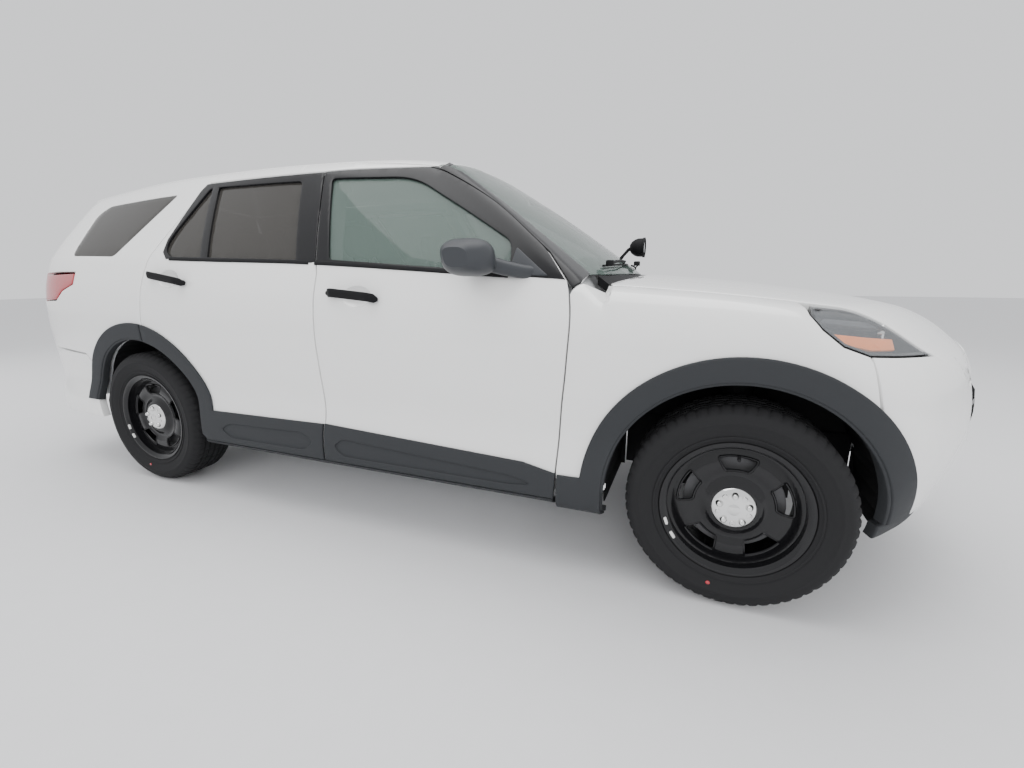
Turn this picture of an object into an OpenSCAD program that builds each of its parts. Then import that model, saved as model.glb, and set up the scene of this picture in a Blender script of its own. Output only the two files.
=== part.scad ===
// Police patrol car: a five-door sport utility body on steel wheels.
// +X points to the front, +Y to the left, +Z up; the floor is at z = 0.

/* [Overall] */
// Length over the bumpers
length = 5049; // [4800:1:6100]
// Width over the arch mouldings
body_w = 2000; // [1900:1:2400]
// Height of the roof above the floor
roof_z = 1763; // [1600:1:2120]
// Distance between the axles
wheelbase = 3025; // [2900:1:3630]
// Front axle to the front of the bumper
front_overhang = 915; // [860:1:1100]
// Width over the door mirrors
mirror_span = 2268; // [2200:1:2600]
// Ground clearance under the sills
sill_z = 240; // [190:1:290]

/* [Wheels] */
// Radius of the tyre as it carries the car
tyre_r = 372; // [340:1:400]
// Width of the tyre
tyre_w = 250; // [205:1:300]
// Distance between the middles of two wheels on one axle
track = 1701; // [1560:1:1760]
// Radius of the rim flange
rim_r = 246; // [205:1:260]
// Number of windows in a wheel disc
wheel_windows = 5; // [3:1:7]
// Gap between the tyre and the wheel arch
arch_gap = 78; // [60:1:95]

/* [Doors and panels] */
// Thickness of a whole door below the belt line
door_t = 130; // [100:1:156]
// Thickness of the window frame of a door
frame_t = 55; // [40:1:66]
// Thickness of the outer flange of a door
flange_t = 25; // [20:1:30]
// Gap between neighbouring panels
panel_gap = 6; // [5:0.5:8]
// Thickness of the hood and the liftgate
lid_t = 34; // [24:1:40]
// Thickness of the roof, fenders and bumpers
skin_t = 22; // [16:1:28]
// Thickness of the window glass
glass_t = 5; // [4:0.5:6]
// Height of the belt line at the middle door post
belt_z = 1213; // [1150:1:1260]
// Distance that cladding and mouldings stand out
trim_t = 14; // [10:1:18]

/* [Cabin] */
// Width of a front seat cushion
seat_w = 520; // [440:1:580]
// Height of the seat cushions above the floor
seat_z = 690; // [640:1:730]
// Radius of the steering wheel
steering_r = 188; // [160:1:205]

/* [Hidden] */
$fn = 48;

// Distance at which pieces of one body seat on each other
seat_gap = 0.3;
// Height of the wheel centres
axle_z = tyre_r;
front_x = length / 2;
rear_x = -length / 2;
front_axle_x = front_x - front_overhang;
rear_axle_x = front_axle_x - wheelbase;
wheel_y = track / 2;
// Seat of the tyre bead on the rim, and half the distance between the flanges
bead_r = rim_r - 17;
bead_y = 101;
// Stub axle of a wheel, its running clearance, and its end inboard of the wheel
stub_r = 40;
stub_gap = 0.05;
stub_end = 96;
// Steering axis and the pins that carry the knuckle
kingpin_y = wheel_y - 62;
kingpin_r = 14;
// Radius of the arch opening, and of the moulding around it
arch_r = tyre_r + arch_gap;
arch_band = 92;
// Half width of the sheet metal at its widest
half_w = body_w / 2 - trim_t;
// Front edge of the front doors, and the split at the middle and the rear door post
a_x = front_axle_x - 620;
b_x = front_axle_x - 1758;
c_x = rear_axle_x + 95;
// Thickness of the outer body side, and depth of the pocket ahead of the front doors
side_t = 42;
pocket_t = 84;
// Inset of a door's inner box, and of its lower part, from the outline
box_inset = 48;
// Bottom edge of the doors
door_z = sill_z + 72;
// Height at which the side is widest
waist_z = sill_z + 660;
// Height of the top edge of the doors
rail_z = roof_z - 113;
// Foot and top of the windshield on the centre line
cowl_x = a_x + 135;
cowl_z = belt_z - 41;
header_x = a_x - 660;
header_z = roof_z - 66;
// Seam between the roof and the liftgate
gate_x = rear_x + 385;
// Underside of the front subframe
subframe_z = 210;
// Underside of the load floor
load_z = 560;
// Top of the bumpers
bumper_z = 690;
bumper_t = 50;
// Thickness of the wheel arch liners
liner_t = 4;
// Licence plate bracket: its outer face, thickness, size, middle, screw pitch and holes
plate_x = rear_x + 74;
plate_t = 8;
plate_w = 316;
plate_h = 166;
plate_z = 925;
plate_pitch_y = 177.8;
plate_pitch_z = 120.6;
plate_hole_r = 3.5;
// Thickness of the cladding at its edge
trim_edge_t = 6;

// ---------- Curves ----------

// Index of the key interval that holds x
function span(keys, x, i = 0) =
    i >= len(keys) - 2 || x < keys[i + 1][0] ? i : span(keys, x, i + 1);
// Slope at key i, as the mean over its neighbours
function slope(keys, i) =
    let (a = max(i - 1, 0), b = min(i + 1, len(keys) - 1))
    (keys[b][1] - keys[a][1]) / (keys[b][0] - keys[a][0]);
// Smooth curve through the keys [[x, value], ...]
function smooth(keys, x) =
    let (i = span(keys, x),
        w = keys[i + 1][0] - keys[i][0],
        t = min(max((x - keys[i][0]) / w, 0), 1),
        m0 = slope(keys, i) * w,
        m1 = slope(keys, i + 1) * w)
    (2 * t ^ 3 - 3 * t ^ 2 + 1) * keys[i][1] + (t ^ 3 - 2 * t ^ 2 + t) * m0
    + (3 * t ^ 2 - 2 * t ^ 3) * keys[i + 1][1] + (t ^ 3 - t ^ 2) * m1;

// Height of the belt line along the car
belt_keys = [[rear_x, 49], [rear_axle_x - 170, 43], [b_x - 730, 22],
    [b_x, 0], [a_x, -68], [front_axle_x + 190, -118], [front_x, -190]];
function belt(x) = belt_z + smooth(belt_keys, x);

// Inward shift of the side along the car, at the sill and at the shoulder
plan_keys = [[rear_x, 210], [rear_x + 74, 130], [rear_x + 224, 62], [rear_x + 424, 26],
    [rear_axle_x - 200, 10], [rear_axle_x + 300, 2], [b_x, 0], [a_x, 3],
    [front_axle_x, 4], [front_axle_x + 240, 16], [front_axle_x + 440, 48],
    [front_axle_x + 640, 112], [front_axle_x + 780, 190], [front_x, 300]];
// Inward shift of the roof rail along the car
rail_keys = [[rear_x, 100], [rear_x + 308, 76], [rear_axle_x, 20], [b_x - 140, 0],
    [header_x, 34], [a_x, 10]];
// Inset of the side from the widest point, by height below the belt line
side_keys = [[sill_z - 60, 190], [sill_z, 120], [door_z - 24, 22], [door_z, 7], [sill_z + 180, 7],
    [sill_z + 320, 30], [sill_z + 500, 13], [waist_z, 0], [waist_z + 150, 10],
    [belt_z - 62, 38], [belt_z, 61]];
// Inset of the roof rail from the widest point
rail_inset = 318;
// Height at which the side table is read for a point below the belt line
function side_height(x, z) =
    z < waist_z ? z : waist_z + (z - waist_z) * (belt_z - waist_z) / (belt(x) - waist_z);
function tumble(x, z) =
    let (t = (z - belt(x)) / (rail_z - belt(x)))
    smooth(side_keys, belt_z) * (1 - t) + (rail_inset + smooth(rail_keys, x)) * t
    - 26 * t * (1 - t);
// Half width of the body at a place along the car and a height
function side_y(x, z) =
    half_w - smooth(plan_keys, x) * (z > belt(x) ? max(0, 1 - (z - belt(x)) / 430) : 1)
    - (z > belt(x) ? tumble(x, z) : smooth(side_keys, side_height(x, z)));

// Height of the centre line of the hood and of the roof
hood_keys = [[cowl_x, cowl_z + 3], [front_axle_x - 110, cowl_z - 25],
    [front_axle_x + 190, cowl_z - 58], [front_axle_x + 490, cowl_z - 104],
    [front_x - 224, cowl_z - 160], [front_x - 144, cowl_z - 196],
    [front_x, cowl_z - 290]];
roof_keys = [[rear_x, roof_z - 116], [rear_x + 308, roof_z - 80],
    [rear_axle_x - 480, roof_z - 46], [rear_axle_x, roof_z - 12],
    [b_x - 600, roof_z], [b_x - 200, roof_z - 5],
    [b_x + 150, roof_z - 19], [header_x - 100, roof_z - 42], [header_x, header_z]];
function centre_z(x) =
    let (t = (x - header_x) / (cowl_x - header_x))
    x > cowl_x ? smooth(hood_keys, x)
    : x > header_x ? header_z + (cowl_z - header_z) * t + 60 * t * (1 - t)
    : smooth(roof_keys, x);
// Fall of the top from the centre line to the side
function cross_fall(x, y) =
    x > cowl_x ? 56 * (abs(y) / 900) ^ 2.6
    : x > header_x
    ? (34 + 26 * (x - header_x) / (cowl_x - header_x)) * (abs(y) / 700) ^ 2
    : 62 * (abs(y) / 640) ^ 3;
// Height of the top of the car
function top_z(x, y) = centre_z(x) - cross_fall(x, y);

// Front face on the centre line, by height
nose_keys = [[sill_z - 40, -150], [sill_z + 90, -80], [sill_z + 290, -16],
    [sill_z + 420, 0], [sill_z + 560, -22], [sill_z + 640, -66], [sill_z + 690, -122],
    [sill_z + 780, -230], [roof_z, -1300]];
// Rear face on the centre line, by height
tail_keys = [[sill_z - 40, 120], [sill_z + 120, 40], [sill_z + 300, 0],
    [bumper_z - 40, 2], [bumper_z + 40, 40], [belt_z - 110, 92], [belt_z, 130],
    [rail_z - 60, 300], [roof_z, 350]];
// Sweep of both faces towards the sides
sweep_keys = [[0, 0], [200, 14], [400, 82], [600, 190], [740, 290], [860, 400], [1000, 600]];
rear_sweep_keys = [[0, 0], [400, 10], [600, 28], [780, 66], [900, 120], [1000, 190]];
function nose_x(y, z) = front_x + smooth(nose_keys, z) - smooth(sweep_keys, abs(y));
function tail_x(y, z) = rear_x + smooth(tail_keys, z) + smooth(rear_sweep_keys, abs(y));

// Places along the car where the surface is evaluated
cols = [rear_x - 60, rear_x + 40, rear_x + 120, rear_x + 230, rear_x + 400,
    rear_axle_x - 430, rear_axle_x - 200, rear_axle_x, rear_axle_x + 300,
    b_x - 500, b_x, b_x + 550, a_x, front_axle_x - 300, front_axle_x,
    front_axle_x + 240, front_axle_x + 400, front_axle_x + 540, front_axle_x + 660,
    front_axle_x + 760, front_axle_x + 840, front_x + 60];
// Heights up to the waist, then fractions of the way from there to the belt line,
// and from the belt line to the roof rail
low_rows = [sill_z - 80, sill_z, door_z, sill_z + 180, sill_z + 270, sill_z + 360,
    sill_z + 500, sill_z + 600, waist_z];
belt_rows = [0.33, 0.67, 1];
high_rows = [0.33, 0.67, 1, 1.35];
function row_z(x, row) =
    let (i = row - len(low_rows), j = i - len(belt_rows))
    i < 0 ? low_rows[row]
    : j < 0 ? waist_z + (belt(x) - waist_z) * belt_rows[i]
    : belt(x) + (rail_z - belt(x)) * high_rows[j];
rows = [for (i = [0:len(low_rows) + len(belt_rows) + len(high_rows) - 1]) i];
top_cols = [rear_x - 60, rear_x + 150, rear_x + 308, rear_axle_x - 480, rear_axle_x,
    b_x - 600, b_x, header_x - 150, header_x, header_x + 260, header_x + 530, cowl_x,
    cowl_x + 240, front_axle_x, front_axle_x + 250, front_axle_x + 490,
    front_x - 224, front_x - 144, front_x - 60, front_x + 60];
top_rows = [-1100, -900, -760, -640, -480, -240, 0, 240, 480, 640, 760, 900, 1100];
end_cols = [-1100, -960, -860, -740, -600, -400, 0, 400, 600, 740, 860, 960, 1100];
end_rows = [sill_z - 80, sill_z + 40, sill_z + 160, sill_z + 290, sill_z + 420,
    bumper_z, bumper_z + 60, sill_z + 690, sill_z + 780, belt_z, belt_z + 200,
    rail_z - 60, roof_z + 60];

// Closed block between two sheets of points
module block(us, vs, front, back) {
    nv = len(vs);
    nu = len(us);
    n = nu * nv;
    points = concat([for (u = us, v = vs) front(u, v)], [for (u = us, v = vs) back(u, v)]);
    rim = concat([for (i = [0:nu - 1]) i * nv], [for (j = [1:nv - 1]) (nu - 1) * nv + j],
        [for (i = [nu - 2:-1:0]) i * nv + nv - 1], [for (j = [nv - 2:-1:1]) j]);
    m = len(rim);
    faces = concat(
        [for (i = [0:nu - 2], j = [0:nv - 2], k = [0, 1])
            let (p = i * nv + j)
            k == 0 ? [p, p + nv + 1, p + nv] : [p, p + 1, p + nv + 1]],
        [for (i = [0:nu - 2], j = [0:nv - 2], k = [0, 1])
            let (p = n + i * nv + j)
            k == 0 ? [p, p + nv, p + nv + 1] : [p, p + nv + 1, p + 1]],
        [for (i = [0:m - 1], k = [0, 1])
            let (p = rim[i], q = rim[(i + 1) % m])
            k == 0 ? [p, q, n + q] : [p, n + q, n + p]]);
    polyhedron(points, faces);
}

// The whole car as one block, a given distance inside its outer surface
module car_block(inset) {
    intersection() {
        block(rows, cols,
            function (r, x) [x, side_y(x, row_z(x, r)) - inset, row_z(x, r)],
            function (r, x) [x, inset - side_y(x, row_z(x, r)), row_z(x, r)]);
        block(top_cols, top_rows,
            function (x, y) [x, y, top_z(x, y) - inset],
            function (x, y) [x, y, 100]);
        block(end_cols, end_rows,
            function (y, z) [nose_x(y, z) - inset, y, z],
            function (y, z) [tail_x(y, z) + inset, y, z]);
    }
}

// The layer of the car between two distances inside its outer surface
module layer(outer, inner) {
    difference() {
        car_block(outer);
        car_block(inner);
    }
}

// Only the part of the car's side between two insets, on the left
module side_layer(outer, inner) {
    block(rows, cols,
        function (r, x) [x, side_y(x, row_z(x, r)) - outer, row_z(x, r)],
        function (r, x) [x, side_y(x, row_z(x, r)) - inner, row_z(x, r)]);
}

// An outline in side view, as a bar across the left half of the car
module side_bar() {
    translate([0, 1300, 0]) rotate([90, 0, 0]) linear_extrude(1301) children();
}

// An outline in top view, as a tall bar
module top_bar() {
    translate([0, 0, -100]) linear_extrude(roof_z + 300) children();
}

// An outline in front view (y, z), as a bar between two places along the car
module end_bar(x0, x1) {
    translate([x0, 0, 0]) rotate([90, 0, 90]) linear_extrude(x1 - x0) children();
}

// Both sides of what is made for the left side
module both() {
    children();
    mirror([0, 1, 0]) children();
}

// Left or right copy of what is made for the left side
module on_side(left) {
    if (left) children();
    else mirror([0, 1, 0]) children();
}

// One closed surface of a curved panel
module panel() {
    resize([0, 0, 0]) children();
}

// ---------- Outlines in side view ----------

function arc(cx, cz, r, from, to, steps) =
    [for (i = [0:steps]) let (t = from + (to - from) * i / steps)
        [cx + r * cos(t), cz + r * sin(t)]];

// Height at which a door's window frame stands on the door
frame_foot_z = belt_z - 40;

// Split lines between the panels, from the bottom up
a_line = [[a_x - 22, door_z], [a_x - 6, sill_z + 390], [a_x + 14, sill_z + 590],
    [a_x + 24, sill_z + 760], [a_x + 12, sill_z + 860], [a_x, belt(a_x) + 2]];
a_post = [[a_x - 90, belt_z + 38], [a_x - 350, rail_z - 198], [a_x - 600, rail_z - 56],
    [a_x - 716, rail_z - 14]];
b_line = [[b_x, door_z], [b_x + 2, frame_foot_z], [b_x - 142, rail_z]];
c_line = [[c_x - 12, sill_z + 650], [c_x, sill_z + 760], [c_x + 28, belt_z - 12],
    [c_x + 82, belt_z + 134], [c_x + 236, rail_z]];

function reversed(list) = [for (i = [len(list) - 1:-1:0]) list[i]];

module front_door_outline() {
    polygon(concat(a_line, a_post, reversed(b_line)));
}
module rear_door_outline() {
    difference() {
        polygon(concat(b_line, reversed(c_line),
            [[c_x - 12, axle_z], [rear_axle_x + arch_r + 60, door_z]]));
        arch_opening(rear_axle_x);
    }
}
module arch_opening(x, grow = 0) {
    hull() {
        translate([x, axle_z]) circle(arch_r + grow, $fn = 48);
        translate([x, 0]) square([2 * (arch_r + grow), 10], center = true);
    }
}
module front_window() {
    polygon([[b_x + 52, belt(b_x) + 14], [b_x - 86, rail_z - 34], [a_x - 830, rail_z - 50],
        [a_x - 728, rail_z - 78], [a_x - 445, rail_z - 234], [a_x - 240, belt_z + 84],
        [a_x - 222, belt(a_x - 240) + 10]]);
}
module rear_window() {
    polygon([[b_x - 122, belt(b_x) + 14], [b_x - 256, rail_z - 34],
        [b_x - 846, rail_z - 26], [b_x - 700, belt(b_x - 700) + 10]]);
}
module rear_pane() {
    polygon([[b_x - 740, belt(b_x - 740) + 10], [b_x - 884, rail_z - 26],
        [b_x - 908, rail_z - 34], [c_x + 140, belt_z + 134], [c_x + 150, belt_z + 70],
        [c_x + 210, belt(b_x - 900) + 10]]);
}
module quarter_window() {
    polygon([[rear_axle_x - 167, belt(rear_axle_x - 167) + 10],
        [rear_axle_x + 109, rail_z - 50], [rear_axle_x - 512, rail_z - 80],
        [rear_axle_x - 589, rail_z - 132], [rear_axle_x - 570, belt(rear_axle_x - 570) + 14]]);
}
module headlight_outline() {
    polygon([[front_axle_x + 155, 1046], [front_axle_x + 190, 1004],
        [front_axle_x + 250, 955], [front_axle_x + 330, 925], [front_x - 20, 890],
        [front_x - 20, 1060]]);
}
module taillight_outline() {
    polygon([[rear_x - 20, belt_z - 48], [rear_x + 612, belt_z - 34],
        [rear_x + 602, belt_z - 96], [rear_x + 494, belt_z - 134],
        [rear_x + 414, belt_z - 192], [rear_x - 20, belt_z - 204]]);
}

// ---------- Outlines in top view ----------

module hood_outline() {
    edge = [[a_x + 122, 812], [front_axle_x, 800], [front_axle_x + 300, 770],
        [front_axle_x + 560, 700], [front_x - 190, 560], [front_x - 140, 300]];
    polygon(concat(
        [[cowl_x + 78, -300], [cowl_x + 78, 300], [a_x + 175, 600]], edge,
        [for (p = reversed(edge)) [p[0], -p[1]]], [[a_x + 175, -600]]));
}
module windshield_outline() {
    polygon(concat(
        [for (i = [-5:5]) [cowl_x - 87 * (i / 5) ^ 2, 760 * i / 5]],
        [for (i = [4:-1:-4]) [header_x - 24 * (i / 4) ^ 2, 626 * i / 4]]));
}
module roof_outline() {
    side = [[b_x, 618], [rear_axle_x, 596], [gate_x, 552]];
    polygon(concat([for (i = [-4:4]) [header_x - 24 * (i / 4) ^ 2 - seat_gap, 626 * i / 4]],
        side, [for (p = reversed(side)) [p[0], -p[1]]]));
}

// ---------- Outlines in front view (y, z) ----------

module gate_outline() {
    half = [[620, bumper_z - 20], [735, bumper_z + 60], [735, belt_z - 235],
        [630, belt_z - 215], [640, belt_z - 20], [735, belt_z + 10], [720, belt_z + 60],
        [575, rail_z - 20], [560, roof_z + 40]];
    polygon(concat(half, [for (p = reversed(half)) [-p[0], p[1]]]));
}
module gate_window() {
    half = [[640, belt_z + 60], [540, rail_z - 110], [500, rail_z - 90]];
    polygon(concat(half, [for (p = reversed(half)) [-p[0], p[1]]]));
}
module grille_outline() {
    half = [[480, 560], [560, 640], [540, 800], [500, 880], [300, 890]];
    polygon(concat(half, [for (p = reversed(half)) [-p[0], p[1]]]));
}

// ---------- Body ----------

module door_openings(grow) {
    side_bar() offset(delta = grow) front_door_outline();
    side_bar() offset(delta = grow) rear_door_outline();
}

module wheel_arches(grow = 0) {
    for (x = [front_axle_x, rear_axle_x])
        side_bar() arch_opening(x, grow);
}

// Painted outer side: roof rail, posts, sill and quarter, one on each side
module body_sides() {
    color("white") panel() both() intersection() {
        difference() {
            layer(0, side_t);
            door_openings(panel_gap / 2);
            wheel_arches(0);
            side_bar() quarter_window();
            side_bar() offset(delta = seat_gap) taillight_outline();
            rear_bumper_zone(seat_gap);
            top_bar() offset(delta = seat_gap) {
                roof_outline();
                windshield_outline();
            }
            end_bar(rear_x - 100, gate_x + 60) offset(delta = panel_gap + 3) gate_outline();
            translate([rear_x - 100, -5, 0]) cube([length, 505, roof_z + 100]);
            translate([gate_x - 1000, -5, rail_z - 70])
                cube([1000, 579, 400]);
            translate([a_x - 60, -5, 0]) cube([400, 695, 2000]);
        }
        side_bar() polygon([[rear_x - 100, sill_z], [a_x - 34, sill_z], [a_x - 34, door_z],
            [a_x - 60, belt_z - 60], [a_x + 50, belt_z - 75], [a_x - 20, belt_z + 60],
            [header_x, roof_z + 60], [rear_x - 100, roof_z + 60]]);
    }
}

module rear_bumper_zone(grow) {
    side_bar() offset(delta = grow) polygon([[rear_x - 60, sill_z - 40],
        [rear_axle_x - 380, sill_z - 40], [rear_axle_x - arch_r + 20, sill_z + 90],
        [rear_axle_x - arch_r - 10, sill_z + 240], [rear_axle_x - arch_r + 10, bumper_z - 60],
        [rear_axle_x - arch_r - 60, bumper_z + 20], [rear_x + 240, bumper_z + 40],
        [rear_x - 60, bumper_z - 30]]);
}

module front_bumper_zone(grow) {
    side_bar() offset(delta = grow) polygon([[front_x + 60, sill_z + 105],
        [front_axle_x + 400, sill_z + 105],
        [front_axle_x + arch_r - 30, sill_z + 330], [front_axle_x + 340, 905],
        [front_x - 330, 905], [front_x + 60, 905]]);
}

module roof() {
    color("white") panel() intersection() {
        difference() {
            layer(0, skin_t);
            both() side_bar() offset(delta = panel_gap) front_door_outline();
        }
        top_bar() roof_outline();
        translate([gate_x, -1000, rail_z - 120]) cube([3000, 2000, 500]);
    }
}

module fenders() {
    color("white") panel() both() intersection() {
        difference() {
            layer(0, skin_t);
            wheel_arches(0);
            front_bumper_zone(seat_gap);
            translate([front_axle_x, 0, 0]) cube([1000, 1000, sill_z + 105 + panel_gap]);
            side_bar() offset(delta = panel_gap / 2) front_door_outline();
            side_bar() offset(delta = seat_gap) headlight_outline();
            top_bar() offset(delta = panel_gap + 1.5) hood_outline();
            top_bar() offset(delta = seat_gap) windshield_outline();
            translate([front_x - 150, 0, 0]) cube([300, 700, 2000]);
        }
        side_bar() polygon([[a_x - 33, sill_z - 20], [a_x - 33, door_z + 5],
            [a_x - 10, sill_z + 390], [a_x + 24, sill_z + 760], [a_x + 51, belt_z - 74],
            [a_x + 58, belt_z], [front_x, belt_z], [front_x, sill_z - 20]]);
        translate([a_x - 60, 690, 0]) cube([front_x, 600, 2000]);
    }
}

module front_bumper() {
    color("white") panel() difference() {
        intersection() {
            layer(0, bumper_t);
            both() front_bumper_zone(0);
            translate([front_axle_x, -1100, sill_z + 105]) cube([1200, 2200, 1000]);
        }
        wheel_arches(0);
        end_bar(front_axle_x, front_x + 100) offset(delta = seat_gap) grille_outline();
        both() side_bar() offset(delta = seat_gap) headlight_outline();
    }
}

// Dark lower lip under the front bumper
module front_valance() {
    color("#3c4046") panel() difference() {
        intersection() {
            layer(6, 46);
            translate([front_axle_x, -1100, sill_z + 36])
                cube([1200, 2200, 69 - seat_gap]);
        }
        both() wheel_arches(0);
    }
}

module grille() {
    color("#202022") panel() intersection() {
        layer(8, 60);
        end_bar(front_axle_x, front_x + 100) difference() {
            grille_outline();
            for (z = [605:70:860])
                for (y = [-455:130:455])
                    translate([y, z]) square([118, 52], center = true);
        }
    }
}

module rear_bumper() {
    color("white") panel() difference() {
        intersection() {
            layer(0, bumper_t);
            both() rear_bumper_zone(0);
            translate([rear_x - 100, -1100, sill_z + 90]) cube([1500, 2200, 1000]);
        }
        wheel_arches(0);
        both() end_bar(rear_x - 100, rear_x + 500) offset(delta = panel_gap) gate_outline();
    }
}

module headlights() {
    color("#b9bcc2") panel() both() intersection() {
        layer(1, 90);
        side_bar() headlight_outline();
        translate([front_axle_x, 565, 0]) cube([1200, 600, 2000]);
        difference() {
            translate([front_axle_x, 0, 0]) cube([1200, 1200, 2000]);
            top_bar() offset(delta = panel_gap) hood_outline();
        }
    }
}

module taillights() {
    color("#a03038") panel() both() intersection() {
        layer(1, 80);
        side_bar() taillight_outline();
        translate([rear_x - 10, 650, 0]) cube([600, 600, 2000]);
    }
}

module windshield() {
    color("#9fb8ac") panel() intersection() {
        layer(0, glass_t);
        top_bar() windshield_outline();
        translate([header_x - 30, -900, belt_z - 80]) cube([1000, 1800, 700]);
    }
}

module quarter_glass() {
    color("#40464a") panel() both() intersection() {
        side_layer(3, 3 + glass_t);
        side_bar() offset(delta = -seat_gap) quarter_window();
    }
}

// Dark bands around the wheel arches and the sill ends
module arch_mouldings() {
    color("#3c4046") panel() both() difference() {
        intersection() {
            side_layer(-trim_t, -seat_gap);
            union() {
                side_bar() polygon([[a_x - 60, door_z + 6], [a_x - 60, sill_z + 178],
                    [front_axle_x - arch_r - 20, sill_z + 178],
                    [front_axle_x - arch_r - 20, door_z + 6]]);
                side_bar() difference() {
                    arch_opening(front_axle_x, arch_band);
                    translate([front_axle_x - 900, 0]) square([900, door_z + 5]);
                    translate([front_axle_x, 0]) square([900, sill_z + 130]);
                }
                side_bar() difference() {
                    arch_opening(rear_axle_x, arch_band);
                    offset(delta = panel_gap) rear_door_outline();
                    translate([rear_axle_x - 900, 0]) square([900, sill_z + 200]);
                    translate([rear_axle_x, 0]) square([900, sill_z]);
                }
            }
        }
        wheel_arches(-2);
        side_bar() offset(delta = panel_gap / 2) front_door_outline();
    }
}

// Arched liner over each wheel, with its inner wall above the axle
module liner(x, y0) {
    r = arch_r + 4;
    wall = liner_t;
    translate([x, 0, axle_z]) difference() {
        translate([0, half_w, 0]) rotate([90, 0, 0]) cylinder(r = r + wall, h = half_w - y0);
        translate([0, half_w + 1, 0]) rotate([90, 0, 0])
            cylinder(r = r, h = half_w + 1 - y0 - wall);
        translate([-r - 50, y0 - 10, -2 * r]) cube([2 * r + 100, 600, 2 * r - 60]);
        translate([-r + 20, y0 - 10, -r]) cube([2 * r - 40, 60, r + 160]);
    }
}
module wheel_liners() {
    color("#1c1c1e") panel() intersection() {
        car_block(bumper_t + seat_gap);
        both() {
            liner(front_axle_x, 500);
            liner(rear_axle_x, 690);
        }
    }
}

module cowl() {
    color("#26282a") panel() intersection() {
        layer(4, 40);
        top_bar() difference() {
            translate([a_x - 20, -688]) square([300, 1376]);
            offset(delta = panel_gap + 10) hood_outline();
            offset(delta = seat_gap) windshield_outline();
        }
    }
}

// Structure under the skins: posts, rails and quarter inners, one frame on each side
frame_depth = 140;

module side_frames() {
    color("#d8dadc") panel() both() difference() {
        intersection() {
            layer(side_t + seat_gap, frame_depth);
            side_bar() polygon([[rear_x + 90, sill_z + 20], [a_x + 60, sill_z + 20],
                [a_x + 60, belt_z - 110], [a_x - 30, belt_z + 20],
                [header_x - 40, roof_z], [rear_x + 90, roof_z]]);
            union() {
                translate([gate_x - 600, 540, 0]) cube([5000, 700, rail_z + 30]);
                translate([gate_x - 600, 700, 0]) cube([5000, 700, belt_z]);
            }
        }
        door_openings(-25);
        intersection() {
            side_layer(0, pocket_t);
            translate([a_x - 62, 0, 0]) cube([400, 1200, 2000]);
        }
        wheel_arches(4 + liner_t + seat_gap);
        side_bar() offset(delta = -10) quarter_window();
        end_bar(rear_x - 100, gate_x + 60) offset(delta = 20) gate_outline();
        rear_bumper_zone(10);
        side_bar() offset(delta = 15) taillight_outline();
    }
}

// Floor between the side frames, the raised load floor and the wheelhouse inner walls
floor_z = sill_z + 20;
floor_t = 30;

module floor_pan() {
    color("#d8dadc") panel() intersection() {
        car_block(frame_depth + seat_gap);
        union() {
            translate([rear_axle_x + 380, -half_w, floor_z])
                cube([a_x - rear_axle_x - 380, 2 * half_w, floor_t]);
            translate([rear_axle_x + 305, -675, floor_z]) cube([80, 1350, floor_t]);
            translate([rear_x + 240, -675, load_z])
                cube([rear_axle_x + 335 - rear_x - 240, 1350, floor_t]);
            translate([rear_axle_x + 305, -675, floor_z])
                cube([floor_t, 1350, load_z + floor_t - floor_z]);
            both() translate([rear_x + 250, 655, 480])
                cube([rear_axle_x + 420 - rear_x - 250, 24, 380]);
        }
    }
}

module firewall() {
    low_z = floor_z + floor_t + seat_gap;
    color("#d8dadc") panel() intersection() {
        car_block(frame_depth + seat_gap);
        union() {
            translate([a_x - 60, -half_w, low_z]) cube([30, 2 * half_w, sill_z + 660 - low_z]);
            translate([a_x - 60, -700, sill_z + 600])
                cube([30, 1400, belt_z - 130 - sill_z - 600]);
        }
    }
}

// Rails from the firewall to the two cross pieces behind the front bumper
module front_rails() {
    start_x = a_x - 30 + seat_gap;
    color("#d8dadc") panel() {
        both() translate([start_x, 432, 484]) cube([front_x - 300 - start_x, 56, 102]);
        translate([front_x - 281, -440, 480]) cube([40, 880, 130]);
        translate([front_x - 341, -490, 480]) cube([61, 980, 110]);
    }
}

// ---------- Doors ----------

// A door's pressed shell, down to and up from the foot of its window frame
module door_slab(front, lower) {
    module outline() {
        if (front) front_door_outline();
        else rear_door_outline();
    }
    module holes(grow) {
        if (front) offset(delta = grow) front_window();
        else {
            offset(delta = grow) rear_window();
            offset(delta = grow) rear_pane();
        }
    }
    low_z = lower ? sill_z : frame_foot_z + seat_gap;
    high_z = lower ? frame_foot_z : roof_z;
    color("white") panel() difference() {
        intersection() {
            translate([rear_x, -half_w - 50, low_z]) cube([length, 2 * half_w + 100, high_z - low_z]);
            shell();
        }
        side_bar() holes(0);
    }
    module shell() {
        union() {
            intersection() {
                side_layer(0, flange_t);
                side_bar() offset(delta = -panel_gap / 2) outline();
            }
            intersection() {
                side_layer(flange_t - 1, door_t);
                side_bar() intersection() {
                    offset(delta = -box_inset) outline();
                    polygon([[rear_x, 0], [front_x, 0], [front_x, belt(front_x) - 30],
                        [a_x, belt(a_x) - 30], [b_x, belt(b_x) - 30],
                        [b_x - 730, belt(b_x - 730) - 30], [rear_x, belt(rear_x) - 30]]);
                }
            }
            intersection() {
                side_layer(flange_t - 1, frame_t);
                side_bar() offset(delta = -32) outline();
            }
        }
    }
}

module door_glass(front) {
    color(front ? "#a9bdb4" : "#3c4144") panel() intersection() {
        side_layer(8, 8 + glass_t);
        side_bar() offset(delta = -seat_gap) {
            if (front) front_window();
            else {
                rear_window();
                rear_pane();
            }
        }
    }
}

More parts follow.
